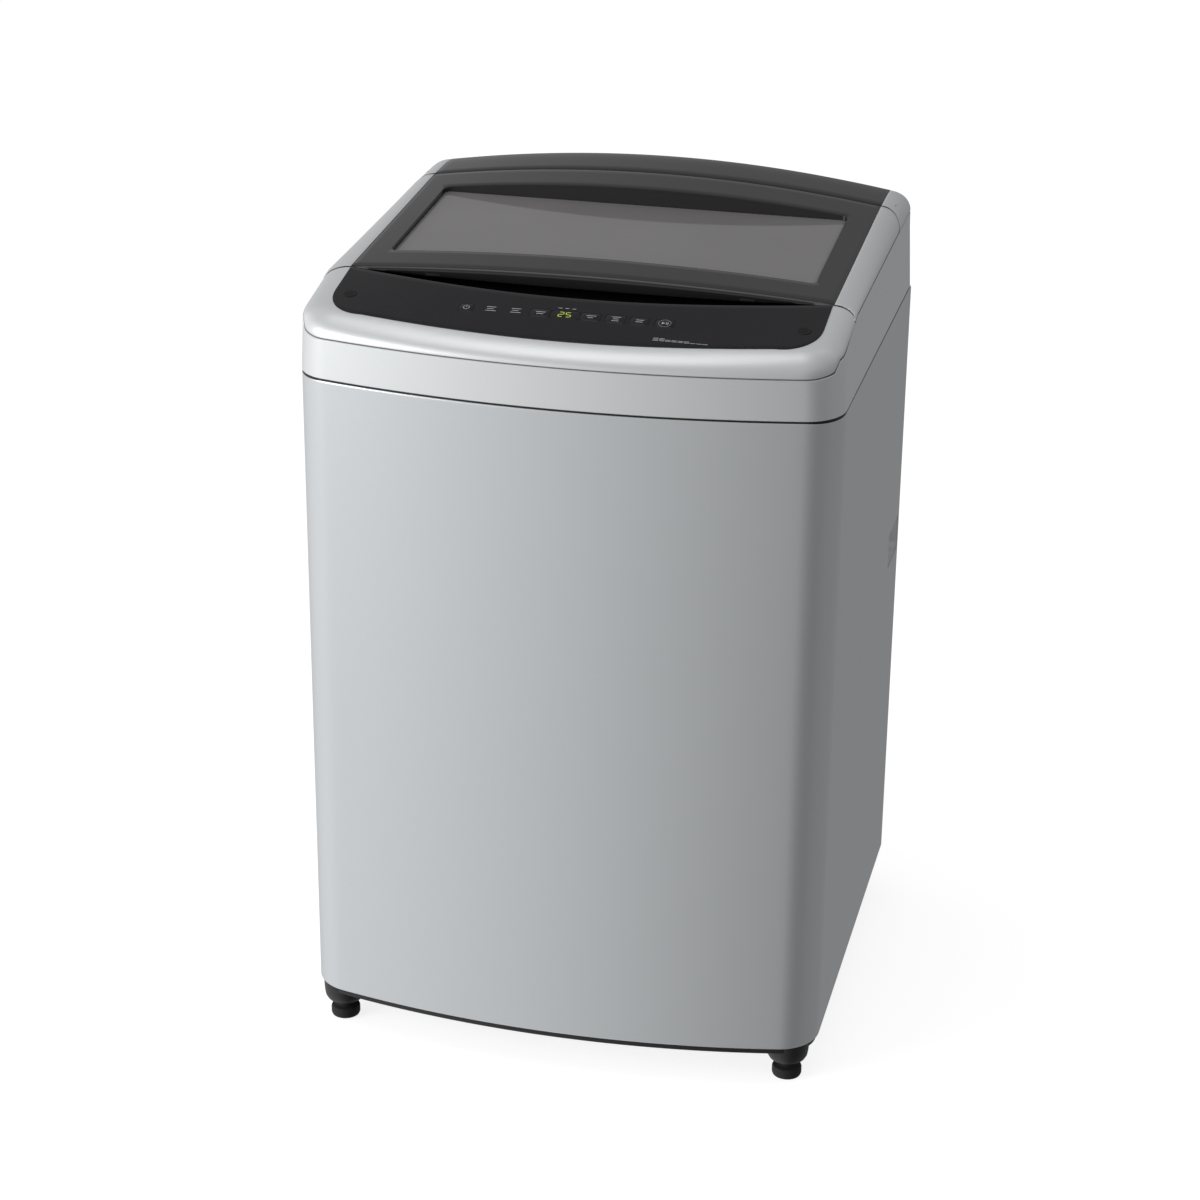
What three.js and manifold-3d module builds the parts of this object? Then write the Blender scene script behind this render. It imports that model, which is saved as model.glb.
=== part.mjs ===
// A top load washing machine: bowed steel cabinet on a moulded base with levelling legs, a two-part top
// with a sloped control panel, a glazed lid hinged at the back, and inside it a tub on four sprung rods
// that carries the spin basket, the pulsator and a direct drive motor.
// Millimetres, +Z up, the front faces -Y, and the origin is on the floor under the middle of the machine.
import * as THREE from "three";
import { mergeVertices } from "three/addons/utils/BufferGeometryUtils.js";
import Module from "manifold-3d";

const wasm = await Module();
wasm.setup();

// ---- driving dimensions ----
const HALF_WIDTH = 316;
const FRONT = -315; // the foremost point of the bowed front
const BACK = 273; // the cabinet's rear edge
const REAR_REACH = 315; // how far the water inlets stand out at the back
const BASE_Z = 50; // the cabinet's lower edge above the floor
const BAND_Z = 847; // the seam between the cabinet and the top cover
const SHEET = 1.2; // steel sheet
const WALL = 3; // moulded wall
const GAP = 0.3; // between pieces that touch
const BOW_SAG = 41; // how far the front bows out, over the whole width
const CORNER_R = 52;
const REAR_CORNER_R = 30;

// The top: the outline shrinks a little up to the shoulder, which is rounded all the way round.
const TOP_HALF = 311.5;
const TOP_BACK = 285;
const SHOULDER = 28;
const TRIM_X = 284; // where the dark middle meets the light shoulder
const LID_FRONT = -155;
const LID_BACK = 187;
const SEAM_GAP = 1.5;

// The lid's hinge and its window.
const HINGE_Y = 153;
const HINGE_Z = 955;
const HINGE_CLEAR = 1.2; // left round the path of the lid's rear edge
const PIN_R = 3;
const WINDOW = { x: 253, front: -97.5, back: 130, corner: 8 };
const GLASS_FRONT_Z = 945.5;
const GLASS_SLOPE = 0.0747;

// The wash group.
const TUB_Y = -21; // the axis of the tub, basket, pulsator and motor
const TUB = { r: 262, floor: 300, top: 818 };
const BASKET = { r: 238, floor: 332, top: 790 };
const RODS = { x: 262, y: 232, top: 838, seat: 296 };
const BRACKET_Z = 360;

// ---- helpers ----
const solid = (geometry) => {
  const bare = geometry.clone();
  bare.deleteAttribute("normal");
  bare.deleteAttribute("uv");
  const merged = mergeVertices(bare, 1e-4);
  return new wasm.Manifold(
    new wasm.Mesh({
      numProp: 3,
      vertProperties: merged.attributes.position.array,
      triVerts: new Uint32Array(merged.index.array),
    }),
  );
};

const geometryOf = (manifold) => {
  const mesh = manifold.getMesh();
  const geometry = new THREE.BufferGeometry();
  geometry.setAttribute("position", new THREE.BufferAttribute(mesh.vertProperties, 3));
  geometry.setIndex(new THREE.BufferAttribute(mesh.triVerts, 1));
  return geometry;
};

const join = (...parts) => parts.reduce((whole, part) => whole.add(part));
const cut = (whole, ...tools) => tools.reduce((left, tool) => left.subtract(tool), whole);

const span = (a, b) => [Math.min(a, b), Math.max(a, b)];

const box = (x, y, z) => {
  const geometry = new THREE.BoxGeometry(x[1] - x[0], y[1] - y[0], z[1] - z[0]);
  geometry.translate((x[0] + x[1]) / 2, (y[0] + y[1]) / 2, (z[0] + z[1]) / 2);
  return solid(geometry);
};

// A flat outline pushed up from z[0] to z[1], and made narrower at the top where narrowing is under 1.
const upright = (shape, z, curveSegments = 3, narrowing = 1) => {
  const geometry = new THREE.ExtrudeGeometry(shape, {
    depth: z[1] - z[0],
    bevelEnabled: false,
    curveSegments,
  });
  const at = geometry.attributes.position;
  for (let i = 0; i < at.count; i++) if (at.getZ(i) > 0) at.setX(i, at.getX(i) * narrowing);
  geometry.translate(0, 0, z[0]);
  return solid(geometry);
};

// An outline in the X-Z plane pushed back along Y.
const alongY = (shape, y) => {
  const geometry = new THREE.ExtrudeGeometry(shape, {
    depth: y[1] - y[0],
    bevelEnabled: false,
    curveSegments: 3,
  });
  geometry.rotateX(Math.PI / 2);
  geometry.translate(0, y[1], 0);
  return solid(geometry);
};

// A profile in the Y-Z plane pushed along X.
const alongX = (points, x) => {
  const shape = new THREE.Shape(points.map(([y, z]) => new THREE.Vector2(y, z)));
  const geometry = new THREE.ExtrudeGeometry(shape, { depth: x[1] - x[0], bevelEnabled: false });
  geometry.rotateY(Math.PI / 2);
  geometry.rotateX(Math.PI / 2);
  geometry.translate(x[0], 0, 0);
  return solid(geometry);
};

// A turned piece about a vertical axis. Its profile of [radius, z] pairs closes on itself or on the axis.
const turned = (profile, x = 0, y = TUB_Y, segments = 20) => {
  const points = profile.map(([r, z]) => new THREE.Vector2(r, z));
  if (profile[0][0] > 0) points.push(points[0].clone());
  const geometry = new THREE.LatheGeometry(points, segments);
  geometry.rotateX(Math.PI / 2);
  geometry.translate(x, y, 0);
  const made = solid(geometry);
  return made.volume() < 0 ? solid(turnedOver(geometry)) : made;
};

const turnedOver = (geometry) => {
  const over = geometry.clone();
  const index = over.index.array;
  for (let i = 0; i < index.length; i += 3) [index[i + 1], index[i + 2]] = [index[i + 2], index[i + 1]];
  return over;
};

// A round bar from one point to another.
const bar = (from, to, r, segments = 20) => {
  const a = new THREE.Vector3(...from);
  const b = new THREE.Vector3(...to);
  const geometry = new THREE.CylinderGeometry(r, r, a.distanceTo(b), segments);
  const turn = new THREE.Quaternion().setFromUnitVectors(
    new THREE.Vector3(0, 1, 0),
    b.clone().sub(a).normalize(),
  );
  geometry.applyQuaternion(turn);
  geometry.translate(...a.add(b).multiplyScalar(0.5).toArray());
  return solid(geometry);
};

// A round cord of a given radius along a smooth curve through points.
const hose = (points, r, sides, steps) => {
  const curve = new THREE.CatmullRomCurve3(points.map((p) => new THREE.Vector3(...p)));
  const section = new THREE.Shape();
  section.absarc(0, 0, r, 0, 2 * Math.PI, false);
  return solid(
    new THREE.ExtrudeGeometry(section, { steps, extrudePath: curve, curveSegments: sides / 2 }),
  );
};

// A block over a rectangle whose underside and top follow functions of x and y.
const slab = (x, y, cells, underside, top) => {
  const geometry = new THREE.BoxGeometry(x[1] - x[0], y[1] - y[0], 2, cells[0], cells[1], 1);
  geometry.translate((x[0] + x[1]) / 2, (y[0] + y[1]) / 2, 0);
  const at = geometry.attributes.position;
  for (let i = 0; i < at.count; i++) {
    const level = at.getZ(i) > 0 ? top : underside;
    at.setZ(i, level(at.getX(i), at.getY(i)));
  }
  return solid(geometry);
};

// A plain rectangle with rounded corners.
const roundedRectangle = (x0, x1, y0, y1, r) => {
  const shape = new THREE.Shape();
  shape.absarc(x1 - r, y0 + r, r, -Math.PI / 2, 0, false);
  shape.absarc(x1 - r, y1 - r, r, 0, Math.PI / 2, false);
  shape.absarc(x0 + r, y1 - r, r, Math.PI / 2, Math.PI, false);
  shape.absarc(x0 + r, y0 + r, r, Math.PI, 1.5 * Math.PI, false);
  shape.closePath();
  return shape;
};

const clamp01 = (t) => Math.min(1, Math.max(0, t));

// Straight lines between [position, value] pairs, level past both ends.
const piecewise = (pairs) => (at) => {
  if (at <= pairs[0][0]) return pairs[0][1];
  for (let i = 1; i < pairs.length; i++) {
    const [a, va] = pairs[i - 1];
    const [b, vb] = pairs[i];
    if (at <= b) return va + ((vb - va) * (at - a)) / (b - a);
  }
  return pairs[pairs.length - 1][1];
};

// ---- the plan outline: bowed front, round front corners, straight sides and back ----
const outline = (half, front, back, cornerR, rearR) => {
  const bowR = (HALF_WIDTH ** 2 + BOW_SAG ** 2) / (2 * BOW_SAG) + (FRONT - front);
  const bowY = front + bowR;
  const cornerX = half - cornerR;
  const cornerY = bowY - Math.sqrt((bowR - cornerR) ** 2 - cornerX ** 2);
  const lean = Math.atan2(cornerX, bowY - cornerY); // where the bow meets the corner
  const down = -Math.PI / 2;
  const shape = new THREE.Shape();
  shape.absarc(0, bowY, bowR, down - lean, down + lean, false);
  shape.absarc(cornerX, cornerY, cornerR, down + lean, 0, false);
  shape.absarc(half - rearR, back - rearR, rearR, 0, Math.PI / 2, false);
  shape.absarc(rearR - half, back - rearR, rearR, Math.PI / 2, Math.PI, false);
  shape.absarc(-cornerX, cornerY, cornerR, Math.PI, 1.5 * Math.PI - lean, false);
  shape.closePath();
  return shape;
};

const cabinetOutline = (inset) =>
  outline(HALF_WIDTH - inset, FRONT + inset, BACK - inset, CORNER_R - inset, Math.max(5 - inset, 1));
const topOutline = (inset, half = TOP_HALF) =>
  outline(half - inset, FRONT + inset, TOP_BACK - inset, CORNER_R - 2 - inset, REAR_CORNER_R - inset);

// ---- the top's outer surface ----
const seamLine = piecewise([
  [-280, 896],
  [-262, 900],
  [-254, 912],
  [LID_FRONT, 934],
  [BACK, 946],
]);
const edgeLine = piecewise([
  [FRONT, 912],
  [LID_FRONT, 943.5],
  [LID_BACK, 968],
  [240, 969.5],
  [TOP_BACK, 968],
]);
const crownLine = piecewise([
  [FRONT + SHOULDER, 0],
  [LID_FRONT, 10],
  [TOP_BACK, 25],
]);
const topZ = (x, y) => edgeLine(y) + crownLine(y) * clamp01(1 - (x / TRIM_X) ** 2);

// The moulded skin of the whole top, as rings inset from the outline: the shoulder, then the crown.
const SHOULDER_STEPS = [0, 0.33, 0.67, 1];
const CROWN_STEPS = [0.72, 0.38];
const LONGEST_STEP = 95;
const subdivided = (points) =>
  points.slice(0, -1).flatMap((p, i) => {
    const next = points[i + 1];
    const parts = Math.ceil(p.distanceTo(next) / LONGEST_STEP);
    return Array.from({ length: parts }, (_, k) => p.clone().lerp(next, k / parts));
  });

const topSolid = (drop) => {
  const flat = subdivided(topOutline(0).getPoints(3));
  const n = flat.length;
  const normals = flat.map((p, i) => {
    const along = flat[(i + 1) % n].clone().sub(flat[(i + n - 1) % n]).normalize();
    return new THREE.Vector2(-along.y, along.x);
  });
  const points = [];
  const ring = (place) => flat.forEach((p, i) => points.push(place(p, normals[i])));
  ring((p, m) => [p.x + m.x * drop, p.y + m.y * drop, 850]);
  for (const step of SHOULDER_STEPS) {
    const a = (step * Math.PI) / 2;
    const inset = SHOULDER - (SHOULDER - drop) * Math.cos(a);
    ring((p, m) => {
      const [x, y] = [p.x + m.x * inset, p.y + m.y * inset];
      const [ex, ey] = [p.x + m.x * SHOULDER, p.y + m.y * SHOULDER];
      const low = seamLine(p.y);
      return [x, y, low + (topZ(ex, ey) - drop - low) * Math.sin(a)];
    });
  }
  for (const share of CROWN_STEPS)
    ring((p, m) => {
      const [x, y] = [(p.x + m.x * SHOULDER) * share, (p.y + m.y * SHOULDER) * share];
      return [x, y, topZ(x, y) - drop];
    });
  const rings = points.length / n;
  points.push([0, 0, topZ(0, 0) - drop], [0, 0, 850]);
  const index = [];
  for (let r = 0; r < rings - 1; r++)
    for (let i = 0; i < n; i++) {
      const j = (i + 1) % n;
      const [a, b, c, d] = [r * n + i, r * n + j, (r + 1) * n + i, (r + 1) * n + j];
      index.push(a, b, d, a, d, c);
    }
  for (let i = 0; i < n; i++) {
    const j = (i + 1) % n;
    index.push((rings - 1) * n + i, (rings - 1) * n + j, rings * n);
    index.push(j, i, rings * n + 1);
  }
  const geometry = new THREE.BufferGeometry();
  geometry.setAttribute("position", new THREE.Float32BufferAttribute(points.flat(), 3));
  geometry.setIndex(index);
  return solid(geometry);
};

const topSkin = (thickness) => {
  const aboveSeam = alongX(
    [
      [-400, 896.6],
      [-280, 896.6],
      [-262, 900.6],
      [-254, 912.6],
      [LID_FRONT, 934.6],
      [BACK, 946.6],
      [400, 946.6],
      [400, 1100],
      [-400, 1100],
    ],
    [-400, 400],
  );
  return topSolid(0).subtract(topSolid(thickness)).intersect(aboveSeam);
};
const skin = topSkin(WALL);

// ---- where the top is parted: the seams in front of and behind the lid curve at the shoulders ----
const seamCurve = (y, sweep, half) => {
  const steps = [0, 0.5, 0.8, 0.95, 1];
  const right = steps.map((t) => [
    TRIM_X + half * t,
    y - sweep * (1 - Math.sqrt(1 - t * t)),
  ]);
  return [[-400, y - sweep], ...right.map(([x, v]) => [-x, v]).reverse(), ...right, [400, y - sweep]];
};
const region = (points, z = [800, 1100]) =>
  upright(new THREE.Shape(points.map(([x, y]) => new THREE.Vector2(x, y))), z);
const shifted = (points, dy) => points.map(([x, y]) => [x, y + dy]);
const FRONT_SEAM = seamCurve(LID_FRONT, 18, 27);
const REAR_SEAM = seamCurve(LID_BACK, 28, 24.5);
const half = SEAM_GAP / 2;
const beforeLid = region([[400, -400], ...shifted(FRONT_SEAM, -half).reverse(), [-400, -400]].reverse());
const lidRegion = region([
  ...shifted(FRONT_SEAM, half),
  ...shifted(REAR_SEAM, -half).reverse(),
]);
const behindLid = region([...shifted(REAR_SEAM, half), [400, 400], [-400, 400]]);
const middle = box([-TRIM_X + GAP / 2, TRIM_X - GAP / 2], [-400, 400], [800, 1100]);
const rightSide = box([TRIM_X + GAP / 2, 400], [-400, 400], [800, 1100]);
const leftSide = box([-400, -TRIM_X - GAP / 2], [-400, 400], [800, 1100]);

// ---- materials ----
const paint = (color, roughness, metalness) =>
  new THREE.MeshStandardMaterial({ color, roughness, metalness });
const FINISH = {
  silver: paint(0xb9bdc0, 0.35, 0.6),
  silverPlastic: paint(0xb4b8bb, 0.4, 0.3),
  black: paint(0x2b2b2e, 0.25, 0),
  overlay: paint(0x26262a, 0.12, 0),
  darkPlastic: paint(0x202022, 0.55, 0),
  glass: paint(0x6f7072, 0.05, 0),
  greyPlastic: paint(0xb8babb, 0.5, 0),
  steel: paint(0xc4c6c8, 0.25, 1),
  zinc: paint(0xa5a8aa, 0.4, 0.9),
  rubber: paint(0x161618, 0.85, 0),
  white: paint(0xe4e5e4, 0.5, 0),
  copper: paint(0x9a5a33, 0.4, 0.8),
  board: paint(0x1f5a3a, 0.6, 0),
};

const machine = new THREE.Group();
const add = (name, manifold, finish) => {
  const mesh = new THREE.Mesh(geometryOf(manifold), FINISH[finish]);
  mesh.name = name;
  machine.add(mesh);
  return mesh;
};

// ---- cabinet, base and feet ----
const SIDES = [
  ["left", -1],
  ["right", 1],
];
const GRIP = { y: [179, 263], z: [493, 541], depth: 20 };
const CORD = { x: -240, z: 770 }; // where the mains cord comes out at the back
const DRAIN = { x: 245, z: 98 }; // where the drain hose fits at the back
const FRONT_FOOT = [281, -252];
const REAR_FOOT = [281, 240];

const cabinetShell = () => {
  const wrap = cut(
    upright(cabinetOutline(0), [BASE_Z, BAND_Z - 0.4]),
    upright(cabinetOutline(SHEET), [BASE_Z - 1, BAND_Z + 1]),
    box([-HALF_WIDTH + 26, HALF_WIDTH - 26], [BACK - 8, BACK + 8], [BASE_Z - 1, BAND_Z + 1]),
  );
  const hanger = (sx, sy) => {
    const y = TUB_Y + sy * RODS.y;
    const reach = sy < 0 ? [-300, y + 26] : [y - 26, BACK - 0.6];
    const plate = box(span(sx * (RODS.x - 34), sx * HALF_WIDTH), reach, [826, 828]);
    const hole = bar([sx * RODS.x, y, 800], [sx * RODS.x, y, 850], 5.2, 12);
    return plate.intersect(upright(cabinetOutline(0.6), [800, 850])).subtract(hole);
  };
  const hangers = [-1, 1].flatMap((sx) => [-1, 1].map((sy) => hanger(sx, sy)));
  const gripHoles = SIDES.map(([, s]) =>
    box([s * HALF_WIDTH - 5, s * HALF_WIDTH + 5], GRIP.y, GRIP.z),
  );
  return cut(join(wrap, ...hangers), ...gripHoles);
};

const sideGrip = (s) => {
  const outside = s * (HALF_WIDTH - SHEET - GAP);
  const inside = outside - s * GRIP.depth;
  const [y0, y1] = GRIP.y;
  const [z0, z1] = GRIP.z;
  const cup = box(span(inside, outside), [y0 - 4, y1 + 4], [z0 - 4, z1 + 8]);
  const hollow = box(span(inside + s * 2, outside + s * 2), [y0 + 1, y1 - 1], [z0 + 1, z1 - 1]);
  const fingerHook = box(span(inside + s * 2, outside - s * 3), [y0 + 1, y1 - 1], [z1 - 2, z1 + 5]);
  return cut(cup, hollow, fingerHook);
};

const backCover = () => {
  const face = BACK + GAP;
  const plate = box([-302, 302], [face, face + SHEET], [58, 838]);
  const bulge = (grow, depth) => {
    const outline = roundedRectangle(-215 - grow, 215 + grow, 110 - grow, 700 + grow, 30 + grow);
    return alongY(outline, [face, face + depth]);
  };
  const vents = Array.from({ length: 5 }, (_, i) =>
    box([-70, 70], [face - 1, face + 40], [600 + 16 * i, 606 + 16 * i]),
  );
  const ports = [
    bar([CORD.x, face - 2, CORD.z], [CORD.x, face + 5, CORD.z], 9.4),
    bar([DRAIN.x, face - 2, DRAIN.z], [DRAIN.x, face + 5, DRAIN.z], 17.6),
  ];
  return cut(join(plate, bulge(0, 26)), bulge(-SHEET, 26 - SHEET), ...vents, ...ports);
};

const baseFrame = () => {
  const strip = cut(
    upright(cabinetOutline(4), [42, BASE_Z - GAP], 2),
    upright(cabinetOutline(46), [30, 90], 1),
  );
  const insert = cut(
    upright(cabinetOutline(SHEET + 1), [BASE_Z - 2, 74], 2),
    upright(cabinetOutline(SHEET + 5), [30, 90], 2),
  );
  const inside = upright(cabinetOutline(4), [10, 90]);
  const bosses = [FRONT_FOOT, REAR_FOOT].flatMap(([x, y]) =>
    SIDES.map(([, s]) =>
      turned([[0, 24], [20, 24], [25, 30], [27, 49], [27, 70], [0, 70]], s * x, y, 12).intersect(inside),
    ),
  );
  const bores = [FRONT_FOOT, REAR_FOOT].flatMap(([x, y]) =>
    SIDES.map(([, s]) => bar([s * x, y, 10], [s * x, y, 66], 5.6, 8)),
  );
  return cut(join(strip, insert, ...bosses), ...bores);
};

const FOOT_PAD = [[0, 0], [15, 0], [18, 3], [18, 13], [14, 17], [10, 18], [10, 22.5]];
const FOOT_STEM = [[5, 22.5], [5, 58], [0, 58]];
const foot = (x, y) => turned([...FOOT_PAD, ...FOOT_STEM], x, y, 12);

add("cabinet_shell", cabinetShell(), "silver");
for (const [side, s] of SIDES) add(`side_grip_${side}`, sideGrip(s), "silverPlastic");
add("back_cover", backCover(), "zinc");
add("base_frame", baseFrame(), "darkPlastic");
for (const [side, s] of SIDES) {
  add(`foot_front_${side}`, foot(s * FRONT_FOOT[0], FRONT_FOOT[1]), "rubber");
  add(`foot_rear_${side}`, foot(s * REAR_FOOT[0], REAR_FOOT[1]), "rubber");
}

// ---- top cover: the band round the machine, the deck with the loading mouth, and the hinge ears ----
const DECK_Z = [880, 884];
const MOUTH = roundedRectangle(-210, 210, -140, 150, 118);
const MOUTH_COLLAR = roundedRectangle(-213, 213, -143, 153, 121);
const DISPENSER = { x: 76, y: [158, 268], z: [853, 905] };
const INLET = { x: [-215, -165], z: 872, r: 13.2 };
const EAR_X = [268, 280];

const topCover = () => {
  const narrowing = TOP_HALF / HALF_WIDTH;
  const belowSeam = alongX(
    [
      [-400, 895.6],
      [-280, 895.6],
      [-262, 899.6],
      [-254, 911.6],
      [LID_FRONT, 933.6],
      [BACK, 945.6],
      [400, 945.6],
      [400, 800],
      [-400, 800],
    ].reverse(),
    [-400, 400],
  );
  const tall = (inset, from, to) => join(
    upright(topOutline(inset, HALF_WIDTH), [from, 934], 3, narrowing),
    upright(topOutline(inset), [933.9, to]),
  );
  const band = tall(0, BAND_Z + GAP, 950).subtract(tall(WALL, BAND_Z - 2, 952)).intersect(belowSeam);
  const deck = upright(topOutline(WALL - 0.5), DECK_Z).subtract(upright(MOUTH, [800, 900]));
  const collar = upright(MOUTH_COLLAR, [854, DECK_Z[1] - 1], 6).subtract(upright(MOUTH, [800, 900], 6));
  const ears = SIDES.map(([, s]) => {
    const x = [Math.min(s * EAR_X[0], s * EAR_X[1]), Math.max(s * EAR_X[0], s * EAR_X[1])];
    return join(
      box(x, [HINGE_Y - 6.5, HINGE_Y + 6.5], [DECK_Z[0] + 1, HINGE_Z]),
      bar([x[0], HINGE_Y, HINGE_Z], [x[1], HINGE_Y, HINGE_Z], 6.5),
    );
  });
  const pinHoles = SIDES.map(([, s]) =>
    bar([s * 260, HINGE_Y, HINGE_Z], [s * 290, HINGE_Y, HINGE_Z], PIN_R + GAP),
  );
  const trimClearance = SIDES.map(([, s]) =>
    bar([s * 300, HINGE_Y, HINGE_Z], [s * 320, HINGE_Y, HINGE_Z], 13, 12),
  );
  const inletHoles = INLET.x.map((x) => bar([x, 250, INLET.z], [x, 300, INLET.z], INLET.r + 1));
  return cut(
    join(band, deck, collar, ...ears),
    ...pinHoles,
    ...trimClearance,
    ...inletHoles,
    box([-DISPENSER.x - 1, DISPENSER.x + 1], [140, DISPENSER.y[1] + 1], [DISPENSER.z[0] - 1, 900]),
    box([INLET.x[0] - 24, INLET.x[1] + 24], [212, 270], [DECK_Z[0] - 2, DECK_Z[1] + 2]),
  );
};
add("top_cover", topCover(), "silverPlastic");

// ---- control panel ----
const SHELF_BACK = -150; // where the finger recess ends, under the lid
const SCOOP_DEPTH = 45; // how far the finger recess is set into the panel at the middle
const recessEdge = (x) => LID_FRONT - SCOOP_DEPTH * (1 - clamp01(Math.abs(x) / TRIM_X) ** 2);
const recessLine = (dy) =>
  [-1, -0.8, -0.6, -0.4, -0.2, 0, 0.2, 0.4, 0.6, 0.8, 1].map((t) => [
    t * TRIM_X,
    recessEdge(t * TRIM_X) + dy,
  ]);
const shelfZ = (x, y) => topZ(x, recessEdge(x)) - 4 - 0.45 * Math.max(0, y - recessEdge(x));
const shelfRegion = (dy) =>
  region([...recessLine(dy), [TRIM_X, SHELF_BACK], [-TRIM_X, SHELF_BACK]]);
const OVERLAY = { x: 283, cornerY: -225, front: -286 };
const FILM = 2.4; // thickness of the film with its carrier
const FILM_CELLS = [8, 1]; // flats that make up its crown
const HOLE_GAP = 0.6; // free space round each key in the film

const overlayShape = (inset) => {
  const { x, cornerY, front } = OVERLAY;
  const r = 46 - inset;
  const shape = new THREE.Shape();
  shape.absarc(-(x - 46), cornerY - 6, r, Math.PI, 1.5 * Math.PI - 0.12, false);
  shape.quadraticCurveTo(0, front - 13 + inset, x - 46, cornerY - 52 + inset);
  shape.absarc(x - 46, cornerY - 6, r, 1.5 * Math.PI + 0.12, 2 * Math.PI, false);
  for (const [px, py] of recessLine(-1.5 - inset).reverse())
    shape.lineTo(Math.max(-x + inset, Math.min(x - inset, px)), py);
  shape.closePath();
  return shape;
};

// Keys: the middle of each, from the left, and its width.
const KEYS = [
  ["power", -121, 17],
  ["course", -35, 24],
  ["water_level", 23, 24],
  ["function", 52, 24],
  ["option", 79, 22],
  ["start_pause", 108, 22],
];
const KEY_Y = -235;
const KEY_DEPTH = 15;
const PANEL_TILT = Math.atan(0.197);
const keyBlock = (x, width, grow, below, above) => {
  const geometry = new THREE.ExtrudeGeometry(
    roundedRectangle(-width / 2 - grow, width / 2 + grow, -KEY_DEPTH / 2 - grow, KEY_DEPTH / 2 + grow, 4),
    { depth: above - below, bevelEnabled: false, curveSegments: 1 },
  );
  geometry.translate(0, 0, below);
  geometry.rotateX(PANEL_TILT);
  geometry.translate(x, KEY_Y, topZ(x, KEY_Y));
  return solid(geometry);
};
const DISPLAY = { x: -6, width: 34 };

const controlHousing = () => {
  const pocket = upright(overlayShape(0), [850, 1000]).intersect(
    slab([-TRIM_X, TRIM_X], [-300, -150], FILM_CELLS, (x, y) => topZ(x, y) - FILM - GAP, () => 1000),
  );
  const shelf = shelfRegion(-2).intersect(
    slab([-TRIM_X, TRIM_X], [-210, -140], [8, 1], (x, y) => shelfZ(x, y) - WALL, shelfZ),
  );
  const underShelf = (x, y) => shelfZ(x, y) - WALL;
  const underFilm = (x, y) => topZ(x, y) - 2.5;
  const riser = region([...recessLine(-3), ...recessLine(0).reverse()]).intersect(
    slab([-TRIM_X, TRIM_X], [-210, -140], [8, 1], underShelf, underFilm),
  );
  const clearShelf = shelfRegion(0).intersect(
    slab([-TRIM_X, TRIM_X], [-210, -140], [8, 1], shelfZ, () => 1000),
  );
  const keyWindow = box([-140, 140], [KEY_Y - 12, KEY_Y + 12], [880, 960]);
  const thick = topSkin(4).intersect(beforeLid);
  return cut(join(cut(thick, shelfRegion(0)), shelf, riser), clearShelf, pocket, keyWindow);
};


const controlOverlay = () => {
  const windows = [...KEYS.map(([, x, width]) => [x, width]), [DISPLAY.x, DISPLAY.width]];
  const reach = KEY_DEPTH / 2 + HOLE_GAP;
  const holes = windows.map(([x, width]) => {
    const half = width / 2 + HOLE_GAP;
    return upright(roundedRectangle(x - half, x + half, KEY_Y - reach, KEY_Y + reach, 4), [850, 1000], 1);
  });
  const film = cut(upright(overlayShape(GAP), [850, 1000]), ...holes);
  return film.intersect(
    slab([-TRIM_X, TRIM_X], [-300, -150], FILM_CELLS, (x, y) => topZ(x, y) - FILM, topZ),
  );
};

add("control_housing", controlHousing(), "silverPlastic");
add("control_overlay", controlOverlay(), "overlay");
for (const [name, x, width] of KEYS) add(`key_${name}`, keyBlock(x, width, 0, -6, 0.1), "overlay");
add("display_window", keyBlock(DISPLAY.x, DISPLAY.width, 0, -5, 0.1), "overlay");
add("control_board", box([-150, 150], [-262, -206], [906, 908]), "board");

// ---- the cover and the silver housing behind the lid ----
// The space that the lid's rear edge turns in: a body of revolution about the hinge.
const hingeSweep = (() => {
  const reach = (x) => Math.hypot(LID_BACK - HINGE_Y, topZ(x, LID_BACK) - HINGE_Z) + HINGE_CLEAR;
  const stations = [-TRIM_X - 28, -TRIM_X, -200, -100, 0, 100, 200, TRIM_X, TRIM_X + 28];
  const profile = [[0, stations[0]], ...stations.map((x) => [reach(x), x]), [0, TRIM_X + 28]];
  const geometry = new THREE.LatheGeometry(profile.map(([r, x]) => new THREE.Vector2(r, x)), 32);
  geometry.rotateZ(-Math.PI / 2);
  geometry.translate(0, HINGE_Y, HINGE_Z);
  return solid(geometry);
})();
const BULKHEAD_Y = [206, 209];
const rearHousing = () => {
  const shoulders = skin.intersect(behindLid);
  const wall = (x, z0) => box(x, BULKHEAD_Y, [z0, 1000]);
  const under = topSolid(WALL + 0.4);
  const behind = wall([-300, 300], 906).intersect(under);
  const ends = SIDES.map(([, s]) => {
    const x = s > 0 ? [TRIM_X + 0.5, 303] : [-303, -TRIM_X - 0.5];
    return wall(x, 930).intersect(topSolid(WALL - 1));
  });
  const whole = join(shoulders.intersect(rightSide), shoulders.intersect(leftSide), behind, ...ends);
  return whole.subtract(hingeSweep);
};
add("rear_panel", cut(skin.intersect(behindLid).intersect(middle), hingeSweep), "black");
add("rear_housing", rearHousing(), "silverPlastic");

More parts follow.
